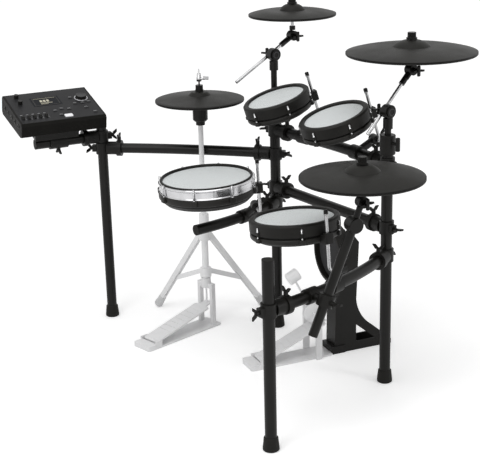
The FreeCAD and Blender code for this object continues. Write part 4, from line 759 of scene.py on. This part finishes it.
def panelMarks():
    values = markValues
    spots = []
    for index in range(values["faders"]):
        x = values["faderX"] + values["faderPitch"] * (index - (values["faders"] - 1) / 2)
        spots.append((values["title"], x, values["faderY"] + values["titleUp"]))
        for step in range(values["ticks"]):
            y = values["faderY"] + values["tickPitch"] * (step - (values["ticks"] - 1) / 2)
            spots.append((values["tick"], x + values["tickAside"], y))
    spots += [(values["keyMark"], x, y + values["keyMarkUp"]) for x, y in keyValues["spots"]]
    shape = bmesh.new()
    for size, x, y in spots:
        block(shape, size, moduleFrame @ placeAt(x, y, values["lift"]))
    addPiece("panelMarks", shape, finishes["markPale"], "module", smooth=False)


dialValues = {
    "top": 0.013,
    "ring": ((0.0222, 0.0), (0.0222, 0.0016), (0.0254, 0.0016), (0.0262, 0.0), (0.0222, 0.0)),
    "cap": ((0.0, 0.0001), (0.0155, 0.0001), (0.0168, 0.0006), (0.0182, 0.0001),
            (0.0182, -0.0004), (0.0, -0.0004))}


def dialTrim():
    # silver ring on the panel and a shallow dish on the dial
    ring = bmesh.new()
    lathe(ring, dialValues["ring"], dialFrame, steps=64)
    addPiece("dialRing", ring, finishes["ringSilver"], "module")
    cap = bmesh.new()
    lathe(cap, dialValues["cap"], dialFrame @ placeAt(0, 0, dialValues["top"]), steps=48)
    addPiece("dialCap", cap, finishes["keyMould"], "value_dial")


jackValues = {"count": 5, "outline": (
    (0.0042, 0.0), (0.0042, 0.0018), (0.0072, 0.0018), (0.0082, 0.0008), (0.0082, 0.0),
    (0.0042, 0.0))}


def jackNuts():
    depth, front, back = moduleValues["depth"], moduleValues["front"], moduleValues["back"]
    shape = bmesh.new()
    for index in range(jackValues["count"]):
        y = depth / 2 - depth * (index + 1) / (jackValues["count"] + 1)
        share = (y + depth / 2) / depth
        z = -front / 2 - share * (back - front) / 2
        at = moduleFrame @ placeAt(-moduleValues["width"] / 2, y, z) @ spun(-90, "Y")
        lathe(shape, jackValues["outline"], at, steps=24)
    addPiece("jackNuts", shape, finishes["controlMould"], "module")


caseTray()
mountShoe()
moduleKeys()
screenBars()
screenBezel()
panelMarks()
dialTrim()
jackNuts()
print("module dressed")

# dark fittings on the pale stand and its rod, from the stand's top and the pad's seat
standValues = {"collar": 0.0665, "rodUnder": 0.012, "rodOver": 0.058}
padSeat = Vector(joints["hihat_rock"]["pos_m"])
paleMetal = finishValues["standPale"]
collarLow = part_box("hihat_stand")[1].z - standValues["collar"]
rodLow, rodHigh = padSeat.z - standValues["rodUnder"], padSeat.z + standValues["rodOver"]
dress(bandFinish("standTube", collarLow, padSeat.z, blackMetal, paleMetal), "hihat_stand")
dress(bandFinish("pullRod", rodLow, rodHigh, blackMetal, paleMetal), "hihat_pull_rod")

# bodyTop, neckFoot and screwUp are shares of the height
clutchValues = {"low": 0.058, "tall": 0.03, "bore": 0.0032, "body": 0.0095, "bodyTop": 0.45,
                "neck": 0.0075, "neckFoot": 0.5, "edge": 0.002, "crown": 0.006,
                "screw": 0.0035, "screwUp": 0.3, "turn": 40, "reach": 0.021,
                "wing": (0.02, 0.004, 0.014), "wingOut": 0.006, "wingUp": 0.004,
                "wingRound": 0.0016}


def clutchTop():
    # upper half of the clutch, gripping the rod with a wing screw
    values = clutchValues
    bore, body, neck, tall = values["bore"], values["body"], values["neck"], values["tall"]
    foot = padSeat + Vector((0, 0, values["low"]))
    outline = [(bore, 0), (body, 0), (body, tall * values["bodyTop"]),
               (neck, tall * values["neckFoot"]), (neck, tall - values["edge"]),
               (values["crown"], tall), (bore, tall), (bore, 0)]
    shape = bmesh.new()
    lathe(shape, outline, Matrix.Translation(foot))
    screwFoot = foot + Vector((0, 0, tall * values["screwUp"]))
    arm = Matrix.Translation(screwFoot) @ spun(values["turn"], "Z")
    screw, reach = values["screw"], values["reach"]
    lathe(shape, [(0, 0), (screw, 0), (screw, reach), (0, reach)], arm @ spun(90, "Y"), steps=16)
    block(shape, values["wing"], arm @ placeAt(reach + values["wingOut"], 0, values["wingUp"]),
          values["wingRound"])
    addPiece("clutchTop", shape, finishes["rodSteel"], "hihat_pull_rod")


# hub as its distance from the stand's axis and its height, foot as a height
bootValues = {
    "headings": (282.0, 185.0), "reach": 0.285, "foot": 0.012, "hub": (0.022, 0.366),
    "outline": ((0.0, -0.054), (0.0122, -0.054), (0.0146, -0.0525), (0.0152, -0.036),
                (0.0172, -0.009), (0.0172, -0.004), (0.015, 0.0006), (0.0, 0.0006))}


def legBoots():
    # rubber boots over the feet of the stand's two legs
    values = bootValues
    hubOut, hubUp = values["hub"]
    centre = Vector((padSeat.x, padSeat.y, 0))
    shape = bmesh.new()
    for heading in values["headings"]:
        out = Matrix.Rotation(math.radians(heading), 3, "Z") @ Vector((0, -1, 0))
        foot = centre + out * values["reach"] + Vector((0, 0, values["foot"]))
        hub = centre + out * hubOut + Vector((0, 0, hubUp))
        lathe(shape, values["outline"], facing(foot, foot - hub))
    addPiece("legBoots", shape, finishes["bootRubber"], "rack")


clutchTop()
legBoots()
print("hi-hat fittings made")

knuckleValues = {"stand": 0.0183, "inner": 0.0085, "outer": 0.0125, "tall": 0.0012, "edge": 0.0006}


def knuckleRing(name):
    # satin washer on the cap of a boom's ratchet
    values = knuckleValues
    inner, outer, tall, edge = values["inner"], values["outer"], values["tall"], values["edge"]
    joint = joints[name + "_boom_swing"]
    outward = -Vector(joint["axis"])
    outline = [(inner, 0), (inner, tall), (outer - edge, tall), (outer, tall - edge), (outer, 0),
               (inner, 0)]
    seat = Vector(joint["pos_m"]) + outward * values["stand"]
    shape = bmesh.new()
    lathe(shape, outline, facing(seat, outward), steps=40)
    addPiece(name + "KnuckleRing", shape, finishes["keyMould"], name + "_boom")


for name in ("left_crash", "ride"):
    knuckleRing(name)
print("knuckle rings set")

beadValues = {"bite": 0.005, "over": 0.0025, "under": 0.0028, "round": 0.0012}


def edgeBead(pad):
    # rolled rubber edge of a cymbal pad
    values = beadValues
    low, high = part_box(pad)
    radius = (high.x - low.x) / 2
    inner, turn = radius - values["bite"], values["round"]
    over, under = values["over"], -values["under"]
    outline = [(inner, over), (radius - turn, over), (radius, over - turn), (radius, under + turn),
               (radius - turn, under), (inner, under), (inner, over)]
    shape = bmesh.new()
    lathe(shape, outline, placeAt((low.x + high.x) / 2, (low.y + high.y) / 2, low.z), steps=128)
    addPiece(pad + "EdgeBead", shape, finishes["rimRubber"], pad)


for name in cymbals:
    edgeBead(name)
print("edge beads made")

# upright grips on the wing screws of knuckles and tilters, by how far along the hinge they stand
gripValues = {"size": (0.009, 0.011, 0.036), "round": 0.0032,
              "waist": (0.012, 0.008, 0.01), "waistRound": 0.002,
              "screws": {"left_crash_boom_swing": 0.046, "ride_boom_swing": 0.046,
                         "left_crash_tilt": -0.037, "ride_tilt": -0.037,
                         "right_crash_tilt": 0.035}}


def screwGrip(jointName, reach):
    values = gripValues
    joint = joints[jointName]
    axis = Vector(joint["axis"])
    heading = math.atan2(axis.y, axis.x)
    stand = Vector(joint["pos_m"]) + axis * reach
    at = Matrix.Translation(stand) @ Matrix.Rotation(heading, 4, "Z")
    shape = bmesh.new()
    block(shape, values["size"], at, values["round"])
    inward = -math.copysign(values["waist"][0] / 2, reach)
    block(shape, values["waist"], at @ placeAt(inward, 0, 0), values["waistRound"])
    addPiece(jointName + "Grip", shape, finishes["clampMould"], joint["child"])


for name, reach in gripValues["screws"].items():
    screwGrip(name, reach)
print("screw grips set")

# pale floor, soft light, camera
studioValues = {"floorHalf": 40, "floorColour": (0.93, 0.93, 0.93, 1), "floorRough": 0.9,
                "floorLift": 0.3, "skyLight": 0.5, "white": (1, 1, 1, 1)}


def seenDirectly(tree):
    # true for what the camera sees straight, in a mirror or through glass
    path = tree.nodes.new("ShaderNodeLightPath")
    seen = mathNode(tree, "MAXIMUM", path.outputs["Is Camera Ray"], path.outputs["Is Glossy Ray"])
    return mathNode(tree, "MAXIMUM", seen, path.outputs["Is Transmission Ray"])


def studio():
    values = studioValues
    floor = bpy.data.meshes.new("floor")
    shape = bmesh.new()
    bmesh.ops.create_grid(shape, x_segments=1, y_segments=1, size=values["floorHalf"])
    shape.to_mesh(floor)
    shape.free()
    ground = bpy.data.objects.new("floor", floor)
    scene.collection.objects.link(ground)
    paint, tree, shader = newFinish("paleFloor")
    shader.inputs["Base Color"].default_value = values["floorColour"]
    shader.inputs["Roughness"].default_value = values["floorRough"]
    shader.inputs["Emission Color"].default_value = values["white"]
    lift = mathNode(tree, "MULTIPLY", seenDirectly(tree), values["floorLift"])
    tree.links.new(lift, shader.inputs["Emission Strength"])
    floor.materials.append(paint)
    world = bpy.data.worlds.new("studio")
    scene.world = world
    world.use_nodes = True
    sky = world.node_tree
    bright = sky.nodes.new("ShaderNodeMapRange")
    bright.inputs["To Min"].default_value = values["skyLight"]
    bright.inputs["To Max"].default_value = 1.0
    sky.links.new(seenDirectly(sky), bright.inputs["Value"])
    sky.links.new(bright.outputs["Result"], sky.nodes["Background"].inputs["Strength"])
    sky.nodes["Background"].inputs["Color"].default_value = values["white"]


lampValues = {
    "key": {"kind": "AREA", "place": (1.2, -2.6, 3.4), "aim": (0.1, 0.0, 0.6), "size": 1.6,
            "power": 34},
    "side": {"kind": "AREA", "place": (3.6, 1.6, 2.4), "aim": (0.2, 0.0, 0.6), "size": 0.9,
             "power": 22},
    "sun": {"kind": "SUN", "place": (0.5, -1.0, 4.0), "aim": (0.0, 0.0, 0.0), "size": 0.9,
            "power": 0.9},
}


def lamps():
    for name, values in lampValues.items():
        data = bpy.data.lights.new(name, values["kind"])
        data.energy = values["power"]
        if values["kind"] == "SUN":
            data.angle = values["size"]
        else:
            data.size = values["size"]
        lamp = bpy.data.objects.new(name, data)
        scene.collection.objects.link(lamp)
        lamp.location = values["place"]
        away = Vector(values["place"]) - Vector(values["aim"])
        lamp.rotation_euler = away.to_track_quat("Z", "Y").to_euler()


# out is from the right side of the front legs, before from their front, height from the floor
cameraValues = {"out": 2.71264, "before": 1.90056, "height": 1.80205,
                "right": (0.56181, 0.8269, -0.02467), "up": (-0.24072, 0.19193, 0.95143),
                "ahead": (-0.79147, 0.52858, -0.30688), "lens": 90.0, "sensor": 36.0,
                "farthest": 200.0}


def camera():
    values = cameraValues
    data = bpy.data.cameras.new("camera")
    data.lens = values["lens"]
    data.sensor_width = values["sensor"]
    data.clip_end = values["farthest"]
    view = bpy.data.objects.new("camera", data)
    scene.collection.objects.link(view)
    turned = Matrix((values["right"], values["up"], -Vector(values["ahead"]))).transposed()
    low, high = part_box("front_legs")
    place = (high.x + values["out"], low.y - values["before"], values["height"])
    view.matrix_world = Matrix.Translation(place) @ turned.to_4x4()
    scene.camera = view


studio()
lamps()
camera()
scene.view_settings.view_transform = "Standard"
print("studio ready")
